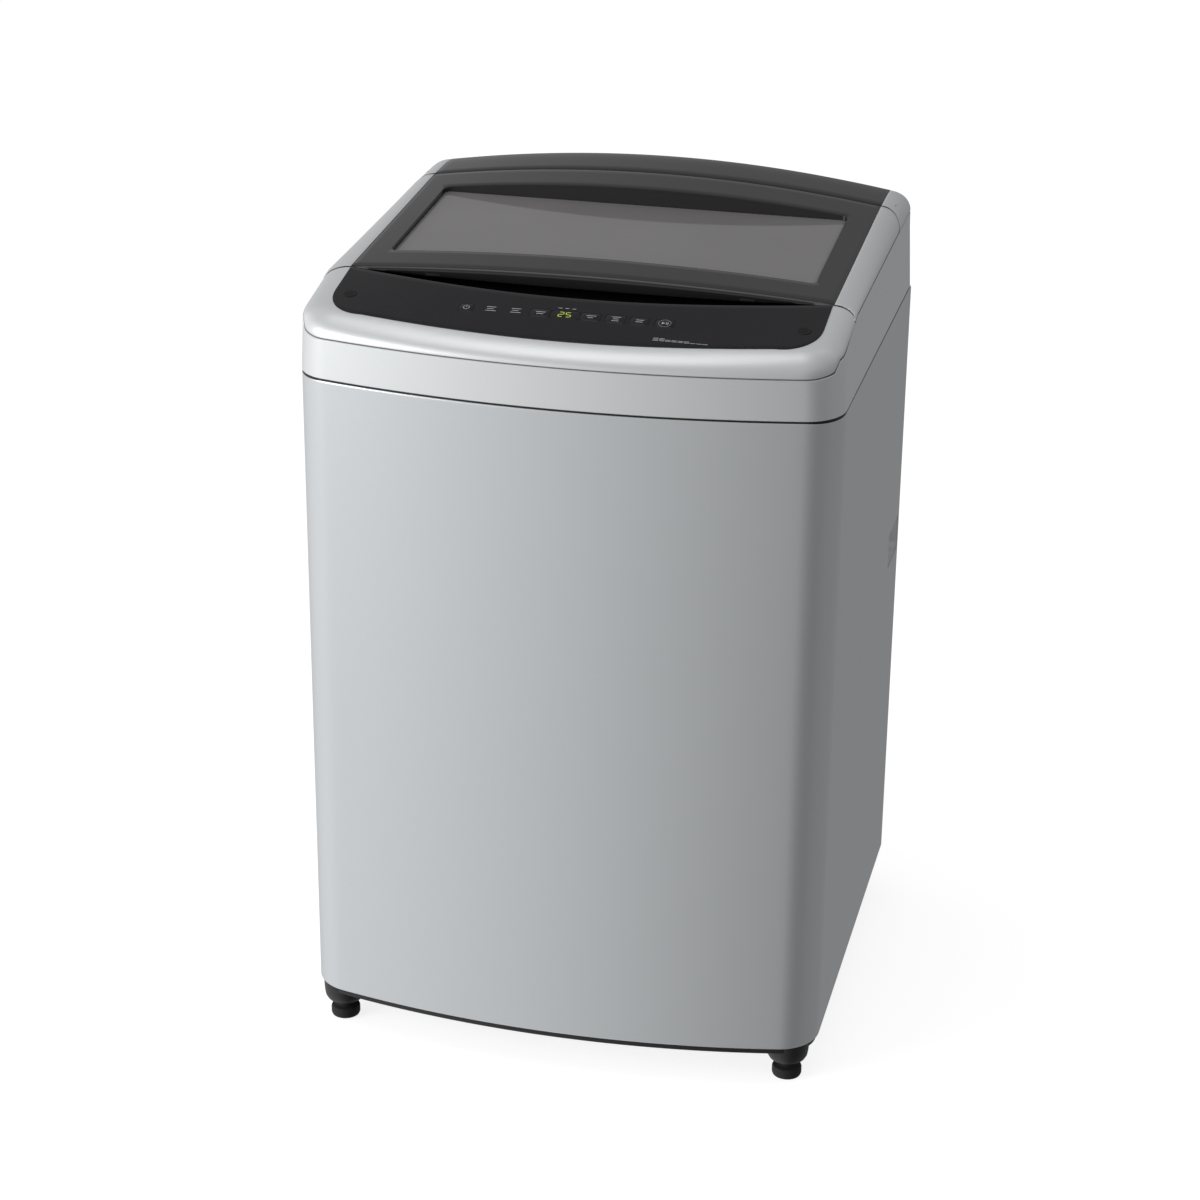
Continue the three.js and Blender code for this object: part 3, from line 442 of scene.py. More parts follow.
class Nodes:
    """Adds nodes to a tree."""

    def __init__(self, tree):
        self.tree = tree

    def node(self, kind, settings=None, output=0, **inputs):
        node = self.tree.nodes.new(kind)
        for name, value in (settings or {}).items():
            setattr(node, name, value)
        for name, value in inputs.items():
            feed(self.tree, node.inputs[name.replace("_", " ")], value)
        return Field(self.tree, node.outputs[output])

    def ramp(self, field, stops):
        """A colour ramp with (position, grey) stops."""
        node = self.tree.nodes.new("ShaderNodeValToRGB")
        feed(self.tree, node.inputs[0], field)
        marks = node.color_ramp.elements
        while len(marks) < len(stops):
            marks.new(0.5)
        for mark, (position, _) in zip(marks, stops):
            mark.position = position
        for mark, (_, grey) in zip(marks, stops):
            mark.color = (grey, grey, grey, 1)
        return Field(self.tree, node.outputs[0])

    def place(self):
        return self.node("ShaderNodeTexCoord", output="Object")

    def parts(self, vector):
        split = self.tree.nodes.new("ShaderNodeSeparateXYZ")
        feed(self.tree, split.inputs[0], vector)
        return [Field(self.tree, split.outputs[i]) for i in range(3)]

    def noise(self, scale, detail=3.0, vector=None):
        return self.node(
            "ShaderNodeTexNoise", Vector=vector or self.place(), Scale=scale, Detail=detail, Roughness=0.55
        )

    def mixed(self, share, first, second):
        node = self.tree.nodes.new("ShaderNodeMix")
        node.data_type = "RGBA"
        feed(self.tree, node.inputs[0], share)
        feed(self.tree, node.inputs[6], first if isinstance(first, Field) else (*first[:3], 1))
        feed(self.tree, node.inputs[7], second if isinstance(second, Field) else (*second[:3], 1))
        return Field(self.tree, node.outputs[2])


class Finish(Nodes):
    """A material of one finish."""

    def __init__(self, name, colour, roughness, metallic=0.0, **fixed):
        self.material = bpy.data.materials.new(name)
        self.material.use_nodes = True
        super().__init__(self.material.node_tree)
        self.shader = self.tree.nodes["Principled BSDF"]
        self.set(Base_Color=(*colour, 1), Roughness=roughness, Metallic=metallic, **fixed)

    def set(self, **inputs):
        for name, value in inputs.items():
            feed(self.tree, self.shader.inputs[name.replace("_", " ")], value)
        return self

    def bump(self, height, strength, distance):
        inputs = {"Height": height, "Strength": strength, "Distance": distance}
        return self.set(Normal=self.node("ShaderNodeBump", output="Normal", **inputs))


FINISHES = {}


def finish(name):
    """The material of that name, made on first use."""
    if name not in FINISHES:
        if name in MOULDINGS:
            made = moulding(name, *MOULDINGS[name])
        elif name in STEELS:
            made = steel(name, *STEELS[name])
        else:
            made = MAKERS[name]()
        FINISHES[name] = made
    return FINISHES[name]


def scaled(colour, by):
    return tuple(min(1.0, c * by) for c in colour)


def flake_paint(name, colour, roughness):
    """Metallic paint: fine flakes under a clear coat, with a trace of orange peel."""
    paint = Finish(name, colour, roughness, 0.55, Coat_Weight=0.12, Coat_Roughness=0.35)
    flakes = paint.noise(1400.0, 1.0)
    cloud = paint.noise(3.0, 2.0)
    share = flakes * 0.7 + cloud * 0.3
    paint.set(Base_Color=paint.mixed(share, scaled(colour, 0.95), scaled(colour, 1.04)))
    paint.set(Roughness=roughness - 0.03 + flakes * 0.06)
    return paint.bump(paint.noise(260.0, 2.0), 0.05, 0.15 * MM).material


def cabinet_paint():
    return flake_paint("cabinet_paint", bpy.context.scene.washer_colours.cabinet, 0.38)


def band_paint():
    return flake_paint("band_paint", bpy.context.scene.washer_colours.band, 0.42)


def moulding(name, colour, roughness, grain=0.08, scale=700.0):
    """Moulded plastic with a fine spark-eroded grain."""
    plastic = Finish(name, colour, roughness)
    speck = plastic.noise(scale, 3.0)
    cloud = plastic.noise(6.0, 2.0)
    plastic.set(Base_Color=plastic.mixed(cloud, scaled(colour, 0.93), scaled(colour, 1.05)))
    plastic.set(Roughness=roughness - 0.05 + speck * 0.1)
    return plastic.bump(speck, grain, 0.1 * MM).material


def seam_shade():
    """The strip behind the shoulder's seam, painted shade: grey in front, black under the lid's edges."""
    strip = Finish("seam_shade", (0.16, 0.165, 0.17), 0.5)
    _, y, _ = strip.parts(strip.place())
    # painted shade: black where the seam runs under the lid's edges, mid grey in front
    shade_under_lid = y.above(LID_FRONT - 14 * MM)
    strip.set(Base_Color=strip.mixed(shade_under_lid, (0.15, 0.155, 0.16), (0.004, 0.004, 0.004)))
    return strip.set(Roughness=0.5 + strip.noise(500.0) * 0.1).material


def gloss_film():
    """Hard gloss film, very slightly uneven, with faint smears."""
    colour = bpy.context.scene.washer_colours.panel
    film = Finish("panel_film", colour, 0.24, Specular_IOR_Level=0.2)
    smear = film.noise(28.0, 4.0)
    film.set(Roughness=0.22 + smear * 0.1, Base_Color=film.mixed(smear, colour, scaled(colour, 1.25)))
    return film.bump(film.noise(60.0, 2.0), 0.02, 0.1 * MM).material


def lid_gloss():
    colour = bpy.context.scene.washer_colours.lid
    gloss = Finish("lid_gloss", colour, 0.14, Specular_IOR_Level=0.5)
    smear = gloss.noise(18.0, 4.0)
    gloss.set(Roughness=0.11 + smear * 0.08, Base_Color=gloss.mixed(smear, colour, scaled(colour, 1.3)))
    return gloss.bump(gloss.noise(300.0, 2.0), 0.015, 0.1 * MM).material


def smoked_glass():
    """Tinted pane, nearly opaque, whose mid-grey base colour with soft clouds is a painted reflection of the
    studio.
    """
    glass = Finish("smoked_glass", (0.25, 0.24, 0.24), 0.06, Specular_IOR_Level=0.5)
    cloud = glass.noise(5.0, 3.0)
    # painted reflection: mid-grey base colour with soft clouds
    glass.set(Base_Color=glass.mixed(cloud, (0.23, 0.222, 0.222), (0.285, 0.275, 0.275)))
    glass.set(Roughness=0.05 + cloud * 0.05, Alpha=0.95)
    return glass.material


def steel(name, colour, roughness, stretch):
    """Bright steel with a fine grain along its length."""
    metal = Finish(name, colour, roughness, 1.0)
    turned_place = metal.node("ShaderNodeMapping", Vector=metal.place(), Scale=stretch)
    grain = metal.noise(240.0, 4.0, turned_place)
    metal.set(Roughness=roughness - 0.06 + grain * 0.14)
    metal.set(Base_Color=metal.mixed(grain, scaled(colour, 0.88), scaled(colour, 1.06)))
    return metal.bump(grain, 0.08, 0.05 * MM).material


def perforated_steel():
    """Basket steel: rows of round holes painted near-black, painted shade for the dark seen through them,
    with a pressed rim.
    """
    colour = (0.66, 0.67, 0.68)
    metal = Finish("perforated_steel", colour, 0.22, 1.0)
    x, y, z = metal.parts(metal.place())
    angle = (y - TUB_Y).math("ARCTAN2", x)
    across = (angle * (96 / (2 * math.pi))).math("FRACT") - 0.5
    up = (z * (1 / 0.0165)).math("FRACT") - 0.5
    distance = (across * across + up * up).math("SQRT")
    hole = 1.0 - (distance - 0.13).math("MULTIPLY", 30.0, clamp=True)
    # painted shade: the holes are near-black, for the dark seen through them
    metal.set(Base_Color=metal.mixed(hole, colour, (0.01, 0.01, 0.01)))
    metal.set(Metallic=1.0 - hole, Roughness=hole * 0.5 + 0.2 + metal.noise(90.0) * 0.06)
    return metal.bump((distance * 3.0).math("MINIMUM", 1.0), 0.5, 0.6 * MM).material


def rubber():
    return moulding("black_rubber", (0.012, 0.012, 0.013), 0.7, 0.25, 500.0)


def circuit_lacquer():
    """Green lacquer over copper tracks."""
    board = Finish("circuit_lacquer", (0.01, 0.09, 0.04), 0.35)
    x, y, _ = board.parts(board.place())
    tracks = ((x * 420.0).math("FRACT") - 0.5).math("ABSOLUTE").above(0.38)
    cross = ((y * 300.0).math("FRACT") - 0.5).math("ABSOLUTE").above(0.42)
    copper = tracks.math("MAXIMUM", cross)
    board.set(Base_Color=board.mixed(copper, (0.008, 0.08, 0.035), (0.03, 0.16, 0.07)))
    return board.bump(copper, 0.2, 0.1 * MM).material


def copper_winding():
    """Enamelled wire laid in rows, each row banded darker and lighter across its width: painted shade and
    sheen of the round turns.
    """
    wire = Finish("copper_winding", (0.45, 0.16, 0.06), 0.35, 0.8)
    _, _, z = wire.parts(wire.place())
    rows = ((z * 900.0).math("FRACT") - 0.5).math("ABSOLUTE")
    # painted shade and sheen: colour banded across each row of wire
    wire.set(Base_Color=wire.mixed(rows, (0.22, 0.07, 0.03), (0.55, 0.22, 0.09)))
    return wire.bump(rows, 0.6, 0.4 * MM).material


def print_ink():
    ink = Finish("print_ink", (0.5, 0.5, 0.51), 0.5)
    wear = ink.noise(400.0, 2.0)
    return ink.set(Base_Color=ink.mixed(wear, (0.42, 0.42, 0.43), (0.58, 0.58, 0.59))).material


def lit_segment():
    lamp = Finish("lit_segment", (0.25, 0.30, 0.03), 0.4)
    glow = lamp.noise(90.0, 1.0)
    lamp.set(Emission_Color=lamp.mixed(glow, (0.42, 0.50, 0.05), (0.50, 0.58, 0.08)), Emission_Strength=0.75)
    return lamp.material


MAKERS = {
    "cabinet_paint": cabinet_paint,
    "band_paint": band_paint,
    "gloss_film": gloss_film,
    "lid_gloss": lid_gloss,
    "smoked_glass": smoked_glass,
    "perforated_steel": perforated_steel,
    "rubber": rubber,
    "circuit_lacquer": circuit_lacquer,
    "copper_winding": copper_winding,
    "print_ink": print_ink,
    "lit_segment": lit_segment,
    "seam_shade": seam_shade,
}
MOULDINGS = {  # colour, roughness
    "black_moulding": ((0.014, 0.014, 0.015), 0.42),
    "inner_black": ((0.007, 0.007, 0.0075), 0.5),
    "screw_black": ((0.002, 0.002, 0.0022), 0.75),
    "grey_moulding": ((0.50, 0.52, 0.53), 0.4),
    "white_moulding": ((0.72, 0.72, 0.70), 0.4),
}
STEELS = {  # colour, roughness, stretch of the grain
    "zinc_sheet": ((0.55, 0.57, 0.58), 0.38, (1, 1, 0.2)),
    "bright_steel": ((0.62, 0.63, 0.64), 0.25, (1, 1, 0.05)),
    "spring_steel": ((0.38, 0.38, 0.39), 0.35, (0.3, 0.3, 1)),
    "cast_alloy": ((0.50, 0.51, 0.52), 0.5, (1, 1, 1)),
}


# ---- operators: the outside ----
class WASHER_OT_cabinet(bpy.types.Operator):
    """Folds the bowed steel cabinet and sets the hand grips and the back in it"""

    bl_idname = "washer.cabinet"
    bl_label = "Cabinet"

    def execute(self, context):
        top, roll, rows = BAND - SEAM, 3 * MM, 12
        section = [(14 * MM, BASE + 0.2 * MM), (roll, BASE + 0.2 * MM)]
        section += [(roll * (1 - math.sin(a)), BASE + roll * (1 - math.cos(a))) for a in (0.5, 1.0, 1.57)]
        section += [(0, BASE + 3.8 * MM)]
        section += [(0, BASE + (top - BASE) * i / rows) for i in range(1, rows)]
        section += [(0, top - 3 * MM), (0, top - 2 * MM), (0.6 * MM, top - 0.6 * MM)]
        section += [(2 * MM, top), (12 * MM, top)]
        shell = wrapped(
            "cabinet_skin", section, HALF, FRONT, CORNER, BACK - 5 * MM, back=BACK, rear=5 * MM, stop_x=0.290
        )
        faces_point(shell, (0, 0, 0.45))
        walled(shell, context.scene.washer_sizes.sheet, 0.3 * MM)
        for side, s in SIDES.items():
            cut_out(shell, self.grip_hole(side, s))
        shell = united("cabinet_skin", [shell, *self.hangers()])
        done(shell, "cabinet", "cabinet_paint", ["cabinet_shell"])
        for side, s in SIDES.items():
            self.grip(side, s)
        paint_node("back_cover", "zinc_sheet")
        return {"FINISHED"}

    @staticmethod
    def grip_span(side):
        """The hand grip's mouth in the side, as ranges of y and z."""
        low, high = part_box(f"side_grip_{side}")
        return (low.y + 4 * MM, high.y - 4 * MM), (low.z + 4 * MM, high.z - 8 * MM)

    def grip_hole(self, side, s):
        loop = rounded_loop(*self.grip_span(side), 9 * MM)
        hole = ringed("hole", [[(x, y, z) for y, z in loop] for x in (s * (HALF - 0.02), s * (HALF + 0.02))])
        pick(hole)
        bpy.ops.object.mode_set(mode="EDIT")
        bpy.ops.mesh.select_all(action="DESELECT")
        bpy.ops.mesh.select_non_manifold()
        bpy.ops.mesh.edge_face_add()
        close_up()
        return hole

    @staticmethod
    def hangers():
        """Plates under the seam that the suspension rods hang from."""
        plates = []
        for end in ("front", "rear"):
            for side, s in SIDES.items():
                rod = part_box(f"suspension_rod_{end}_{side}")
                x, y = (rod[0].x + rod[1].x) / 2, (rod[0].y + rod[1].y) / 2
                near, far = (-30, 14) if s > 0 else (-14, 30)
                fore, aft = (-14, 26) if end == "front" else (-26, 14)
                low, high = (x + near * MM, y + fore * MM, 0.826), (x + far * MM, y + aft * MM, 0.828)
                plates.append(block("hanger", low, high, 0.4 * MM))
        return plates

    def grip(self, side, s):
        """The moulded cup of a hand grip, with a lip behind the sheet."""
        outer = s * (HALF - 0.2 * MM)
        y, z = self.grip_span(side)

        def ring(inset, depth, corner):
            loop = rounded_loop((y[0] + inset, y[1] - inset), (z[0] + inset, z[1] - inset), corner)
            return [(outer - s * depth, a, b) for a, b in loop]

        depths = [(0.3, 0.4), (0.3, 1.6), (1.6, 10.0), (3.0, 16.0), (6.0, 18.0), (20.0, 18.2)]
        rings = [ring(-3 * MM, 1.6 * MM, 11 * MM)]
        rings += [ring(i * MM, (d + 0.6) * MM, max(9 - i * 0.3, 2) * MM) for i, d in depths]
        middle = ((y[0] + y[1]) / 2, (z[0] + z[1]) / 2)
        rings.append([(outer - s * 18.8 * MM, *middle)] * len(rings[0]))
        cup = ringed(f"grip_{side}", rings)
        faces_point(cup, (s * (HALF + 0.2), *middle), outwards=False)
        modified(cup, "SOLIDIFY", thickness=1.6 * MM, offset=-1.0)
        done(cup, "cabinet", "band_paint", [f"side_grip_{side}"])


class WASHER_OT_base(bpy.types.Operator):
    """Moulds the black base and its four levelling legs"""

    bl_idname = "washer.base"
    bl_label = "Base and legs"

    def execute(self, context):
        section = [(7 * MM, 0.073), (6 * MM, BASE - 0.3 * MM), (4 * MM, BASE - 0.5 * MM), (4 * MM, 0.0435)]
        section += [(5.5 * MM, 0.042), (44 * MM, 0.042)]
        strip = wrapped("base_moulding", section, HALF, FRONT, CORNER, BACK - 7 * MM, back=BACK, rear=7 * MM)
        walled(strip, 2.4 * MM, 0.4 * MM)
        boss_profile = [(8, 24), (19, 24), (22, 25.5), (24.5, 30), (25.5, 36), (26, 44)]
        boss_profile += [(26, 60), (23, 60), (22, 34), (8, 30)]
        leg_profile = [(0, 0), (14, 0), (17, 1.2), (18, 3.5), (18, 11), (17, 13.4), (13.5, 15), (11, 16.5)]
        leg_profile += [(10.4, 18), (10.4, 22), (6, 22.4)]
        leg_profile += [(5 + 0.45 * (i % 2), 23.5 + i * 0.9) for i in range(28)]
        leg_profile += [(0, 49)]
        bosses = []
        for side in SIDES:
            for end in ("front", "rear"):
                low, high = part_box(f"foot_{end}_{side}")
                centre = (low.x + high.x) / 2, (low.y + high.y) / 2
                boss = turned("boss", in_mm(boss_profile), centre, 40)
                bosses.append(eased(boss, 0.5 * MM, 30))
                foot = turned(f"leg_{end}_{side}", in_mm(leg_profile), centre, 40)
                body = f"front_foot_{side}" if end == "front" else "cabinet"
                done(eased(foot, 0.3 * MM, 50), body, "rubber", [f"foot_{end}_{side}"])
        base = united("base_moulding", [strip, *bosses])
        done(base, "cabinet", "black_moulding", ["base_frame"])
        return {"FINISHED"}


def narrowed(x, z):
    """The band leans in a little from the cabinet seam up to the shoulder."""
    share = min(1.0, max(0.0, (z - BAND) / (0.934 - BAND)))
    return x * (1 - (1 - TOP_HALF / HALF) * share)


def round_the_top(name, section, move=None):
    """A sheet that follows the outline of the top on all four sides."""
    behind = {"back": TOP_BACK, "rear": REAR_CORNER}
    side_end = TOP_BACK - REAR_CORNER
    return wrapped(name, section, HALF, FRONT, CORNER - 2 * MM, side_end, move=move, **behind)


def seam_shade_strip(name, height, shade="inner_black", move=None):
    """A dark strip that closes the seam at a height from inside: painted shade that makes the seam read as a
    dark line.
    """
    depth = 0.7 * MM
    strip = round_the_top(name, [(depth, height - 3 * MM), (depth, height + 1.2 * MM)], move)
    modified(strip, "SOLIDIFY", thickness=0.8 * MM, offset=-1.0)
    return done(strip, "cabinet", shade)


class WASHER_OT_top_cover(bpy.types.Operator):
    """Moulds the band round the top, the deck and the loading mouth"""

    bl_idname = "washer.top_cover"
    bl_label = "Top cover"

    def execute(self, context):
        pieces = [self.band(), self.deck(), *self.ears()]
        done(united("top_band", pieces), "cabinet", "band_paint", ["top_cover"])
        # Painted shade: dark strips behind the lower and upper seams make them read as lines.
        seam_shade_strip("lower_seam_shade", BAND)

        def along_seam(p):
            z = seam_height(p.y) + p.z
            return Vector((narrowed(p.x, z), p.y, z))

        seam_shade_strip("upper_seam_shade", 0.0, "seam_shade", along_seam)
        # Painted shade: black strips over the shoulders make the lid's seams read dark.
        self.lid_seam_shade("lid_front_seam_shade", front_seam, (-1.5 * MM, 1.35 * MM))
        self.lid_seam_shade("lid_rear_seam_shade", rear_seam, (-1.35 * MM, 1.8 * MM))
        return {"FINISHED"}

    @staticmethod
    def band():
        """The upright band between the two seams."""

        def lifted(p):
            low, high = BAND + 0.4 * MM, seam_height(p.y) - 0.4 * SEAM
            z = low + (high - low) * p.z
            return Vector((narrowed(p.x, z), p.y, z))

        section = [(8 * MM, -0.002), (1.2 * MM, 0.0)]
        section += [(0, t) for t in (0.02, 0.03, 0.2, 0.4, 0.6, 0.8, 0.97, 0.98)]
        section += [(1.2 * MM, 1.0), (1.8 * MM, 1.0)]
        return walled(round_the_top("top_band", section, lifted), 2.0 * MM, 0.35 * MM)

    @staticmethod
    def deck():
        """The deck under the lid, with the rolled rim of the loading mouth."""
        corner_steps = 24
        outline = rounded_loop((-0.300, 0.300), (-0.250, 0.272), 26 * MM, corner_steps)
        rings = [[(x, y, DECK - 0.3 * MM) for x, y in outline]]
        for inset, drop in [(0, 0.0), (1.0, 0.3), (3.4, 1.6), (5.5, 4.0), (6.2, 8.0), (6.6, 28.0)]:
            side, front, back = 0.2155 - inset * MM, -0.1455 + inset * MM, 0.1545 - inset * MM
            loop = rounded_loop((-side, side), (front, back), (122 - inset) * MM, corner_steps)
            rings.append([(x, y, DECK - drop * MM) for x, y in loop])
        piece = faces_point(ringed("deck", rings), (0, 0, 0.5))
        return walled(piece, 2.2 * MM, 0.3 * MM)

    @staticmethod
    def ears():
        """The posts at both sides that carry the lid's pins."""
        posts = []
        for s in SIDES.values():
            near, far = sorted((s * 268.4 * MM, s * 279.6 * MM))
            low, high = (near, HINGE.y - 6.2 * MM, 0.883), (far, HINGE.y + 6.2 * MM, HINGE.z + 6 * MM)
            posts.append(block("ear", low, high, 5.5 * MM, 5))
        return posts

    @staticmethod
    def lid_seam_shade(name, line, span):
        """Black strips that fill the ends of the lid's seams, over the shoulders: painted shade for the seam
        lines.
        """
        depth = 0.1 * MM

        def place(u, v):
            a = (0.04 + 0.96 * u) * math.pi / 2
            x = TOP_HALF - SHOULDER * (1 - math.cos(a))
            y = line(x) + span[0] + (span[1] - span[0]) * v
            foot = seam_height(y)
            z = foot + (top_height(x, y) - foot) * math.sin(a)
            return x - depth * math.cos(a), y, z - depth * math.sin(a)

        right = formed(name, 12, 1, place)
        modified(right, "SOLIDIFY", thickness=0.5 * MM, offset=0.0)
        left = mirrored(right, name)
        done(united(name, [right, left]), "cabinet", "inner_black")


def shoulder(steps=10):
    """The rounded shoulder as (inset, share of the height) pairs."""
    turns = [i / steps * math.pi / 2 for i in range(steps + 1)]
    return [(SHOULDER * (1 - math.cos(a)), math.sin(a)) for a in turns]


def edge_section():
    """The shoulder's section with a foot turned in, for the silver pieces along the top's edge."""
    return [(5 * MM, 0.0), *[(inset, max(share, 0.03)) for inset, share in shoulder()]]


def on_shoulder(p):
    """Lifts a point whose z is a share of the height between the seam and the top's surface."""
    foot = seam_height(p.y) + 0.4 * SEAM
    surface = top_height(p.x, p.y)
    return Vector((p.x, p.y, foot + (surface - foot) * p.z if p.z <= 1 else surface))


def front_seam(x):
    t = min(1.0, max(0.0, (abs(x) - TRIM_X) / (27 * MM)))
    return LID_FRONT - 18 * MM * (1 - math.sqrt(1 - t * t))


def rear_seam(x):
    t = min(1.0, max(0.0, (abs(x) - TRIM_X) / (27.5 * MM)))
    return LID_BACK - 28 * MM * (1 - math.sqrt(1 - t * t))


def recess_edge(x):
    return LID_FRONT - 45 * MM * (1 - min(1.0, abs(x) / TRIM_X) ** 2)


class WASHER_OT_control_panel(bpy.types.Operator):
    """Moulds the silver front shoulder, the black film with its keys and prints, and the finger recess"""

    bl_idname = "washer.control_panel"
    bl_label = "Control panel"

    def execute(self, context):
        self.housing()
        self.film()
        self.recess()
        self.keys()
        self.prints()
        self.screws()
        paint_node("control_board", "circuit_lacquer")
        return {"FINISHED"}

    def housing(self):
        section = [*edge_section(), *[(inset * MM, 1.5) for inset in (34, 41, 48)]]
        side_end = LID_FRONT - 0.5 * MM
        outline = (TOP_HALF, FRONT, CORNER - 2 * MM, side_end)
        piece = wrapped("panel_housing", section, *outline, move=self.lifted)
        walled(piece, 2.4 * MM, 0.5 * MM, 50)
        done(piece, "cabinet", "band_paint", ["control_housing"])

    @staticmethod
    def lifted(p):
        """Fits a point of the housing to the lid's seam and to the top's height."""
        limit = front_seam(p.x) - 0.6 * SEAM
        start = -0.233
        y = p.y if p.y < start else start + (p.y - start) * (limit - start) / (LID_FRONT - 0.5 * MM - start)
        x = p.x
        if p.z > 1 and y > -0.205:
            x = max(x, TRIM_X - 1 * MM - 0.01 * (TRIM_X - x))
        return on_shoulder(Vector((x, y, p.z)))

    @staticmethod
    def film_front(x):
        """The film's front edge: a shallow bow with round corners."""
        half, round_off = 283 * MM, 46 * MM
        bow = -0.287 + 0.0225 * (x / (half - round_off)) ** 2
        reach = abs(x) - (half - round_off)
        if reach <= 0:
            return bow
        t = min(1.0, reach / round_off)
        return -0.2645 + 50 * MM * (1 - math.sqrt(1 - t**2.2))

    def film(self):
        def place(u, v):
            x = 283.2 * MM * math.sin((u - 0.5) * math.pi)
            front = self.film_front(x)
            y = front + (recess_edge(x) - 1.2 * MM - front) * v
            return x, y, top_height(x, y) + 0.45 * MM

        film = formed("panel_film", 120, 12, place)
        modified(film, "SOLIDIFY", thickness=1.2 * MM, offset=-1.0)
        eased(film, 0.4 * MM, 50)
        for name, (x, width) in [*KEYS.items(), ("display", DISPLAY)]:
            tool = self.key_block(name, x, width + KEY_GAP, KEY_DEPTH + KEY_GAP, -4 * MM, 4 * MM, 0)
            cut_out(film, tool)
        done(film, "cabinet", "gloss_film", ["control_overlay"], angle=30)

    @staticmethod
    def key_block(name, x, width, depth, below, above, edge):
        """A key that follows the slope of the top, from below its surface to above it, with an eased edge."""
        across, deep = (x - width / 2, x + width / 2), (KEY_Y - depth / 2, KEY_Y + depth / 2)
        loop = rounded_loop(across, deep, 3.6 * MM, 5)
        tops = [(x, KEY_Y)] * len(loop)
        inner = [(x + (a - x) * 0.92, KEY_Y + (b - KEY_Y) * 0.92) for a, b in loop]
        rings = [
            [(a, b, top_height(a, b) + below) for a, b in tops],
            [(a, b, top_height(a, b) + below) for a, b in loop],
            [(a, b, top_height(a, b) + above - edge) for a, b in loop],
            [(a, b, top_height(a, b) + above) for a, b in inner],
            [(a, b, top_height(a, b) + above + edge * 0.5) for a, b in tops],
        ]
        return ringed(name, rings)

    def keys(self):
        for name, (x, width) in KEYS.items():
            key = self.key_block(f"cap_{name}", x, width, KEY_DEPTH, -5 * MM, 0.55 * MM, 0.35 * MM)
            done(key, f"key_{name}", "gloss_film", [f"key_{name}"])
        x, width = DISPLAY
        window = self.key_block("lens", x, width - 0.8 * MM, KEY_DEPTH, -5 * MM, 0.5 * MM, 0.2 * MM)
        done(window, "cabinet", "gloss_film", ["display_window"])

    def recess(self):
        def place(u, v):
            x = (2 * u - 1) * 283 * MM
            start = recess_edge(x) - 1.4 * MM
            top = top_height(x, start)
            line = [(0, 0.2), (0.6, 0.0), (1.6, -1.0), (2.2, -3.0), (3.2, -4.6)]
            reach = max(0.0, LID_FRONT + 26 * MM - start)
            line += [(3.2 + reach / MM * t, -4.6 - 0.45 * reach / MM * t) for t in (0.25, 0.5, 0.75, 1.0)]
            dy, dz = line[round(v * (len(line) - 1))]
            return x, start + dy * MM, top + dz * MM

        shelf = formed("recess_shelf", 96, 8, place)
        modified(shelf, "SOLIDIFY", thickness=1.6 * MM, offset=-1.0)
        done(shelf, "cabinet", "gloss_film", angle=30)

    def prints(self):
        """Plain dashes on the film and the keys, and the signs of the power, start and display."""
        rows = []
        for x in (-92, -63):
            rows += [(x - 6, 3.6, 11, 1.15), (x - 5, -0.2, 8, 1.15), (x - 6, -4.0, 12, 1.15)]
        rows += [(DISPLAY[0] / MM - 11 + i * 8, 11.6, 4.6, 1.15) for i in range(3)]
        for height, end in [(-31.0, 116), (-33.2, 140), (-35.4, 160)]:
            rows += [(start, height, 6, 1.0) for start in range(102, end, 7)]
        self.printed("prints_panel", self.marks(rows), "cabinet")
        words = {
            "course": [(-40, 1.2, 11, 1.15), (-39, -2.4, 8, 1.15)],
            "water_level": [(18, 1.2, 11, 1.15), (20, -2.4, 6, 1.15)],
            "function": [(47, 3.0, 10, 1.15), (49, -0.6, 6, 1.15), (48, -4.2, 8, 1.2)],
            "option": [(75, 1.2, 9, 1.15), (75, -2.4, 8, 1.15)],
        }
        for name, rows in words.items():
            self.printed(f"print_{name}", self.marks(rows), f"key_{name}")
        self.power_mark()
        self.start_mark()
        self.digits()

    @staticmethod
    def marks(rows):
        """Boxes from (left, height above the keys' middle, length, height), in millimetres."""
        return [(x * MM, KEY_Y + y * MM, (x + w) * MM, KEY_Y + (y + h) * MM) for x, y, w, h in rows]

    @staticmethod
    def printed(name, rows, body, lift=PRINT_LIFT, ink="print_ink"):
        """Flat boxes from (x0, y0, x1, y1) laid over the surface."""
        deselect()
        bpy.ops.mesh.primitive_plane_add(size=MM)
        piece = bpy.context.object
        piece.name = piece.data.name = name
        bpy.ops.object.mode_set(mode="EDIT")
        bpy.ops.mesh.select_all(action="SELECT")
        bpy.ops.mesh.delete(type="VERT")
        for x0, y0, x1, y1 in rows:
            middle = ((x0 + x1) / 2, (y0 + y1) / 2, 0)
            bpy.ops.mesh.primitive_plane_add(size=1, location=middle, scale=(1, 1, 1))
            bpy.ops.transform.resize(value=(x1 - x0, y1 - y0, 1), center_override=middle)
        bpy.ops.object.mode_set(mode="OBJECT")
        reshaped(piece, lambda p: Vector((p.x, p.y, top_height(p.x, p.y) + lift)))
        return done(piece, body, ink)

    def ring_mark(self, name, x, radius, width, start, end, body):
        def place(u, v):
            a = start + (end - start) * u
            r = radius + (v - 0.5) * width
            px, py = x + r * math.cos(a), KEY_Y + r * math.sin(a)
            return px, py, top_height(px, py) + PRINT_LIFT

        return done(formed(name, 32, 1, place), body, "print_ink")

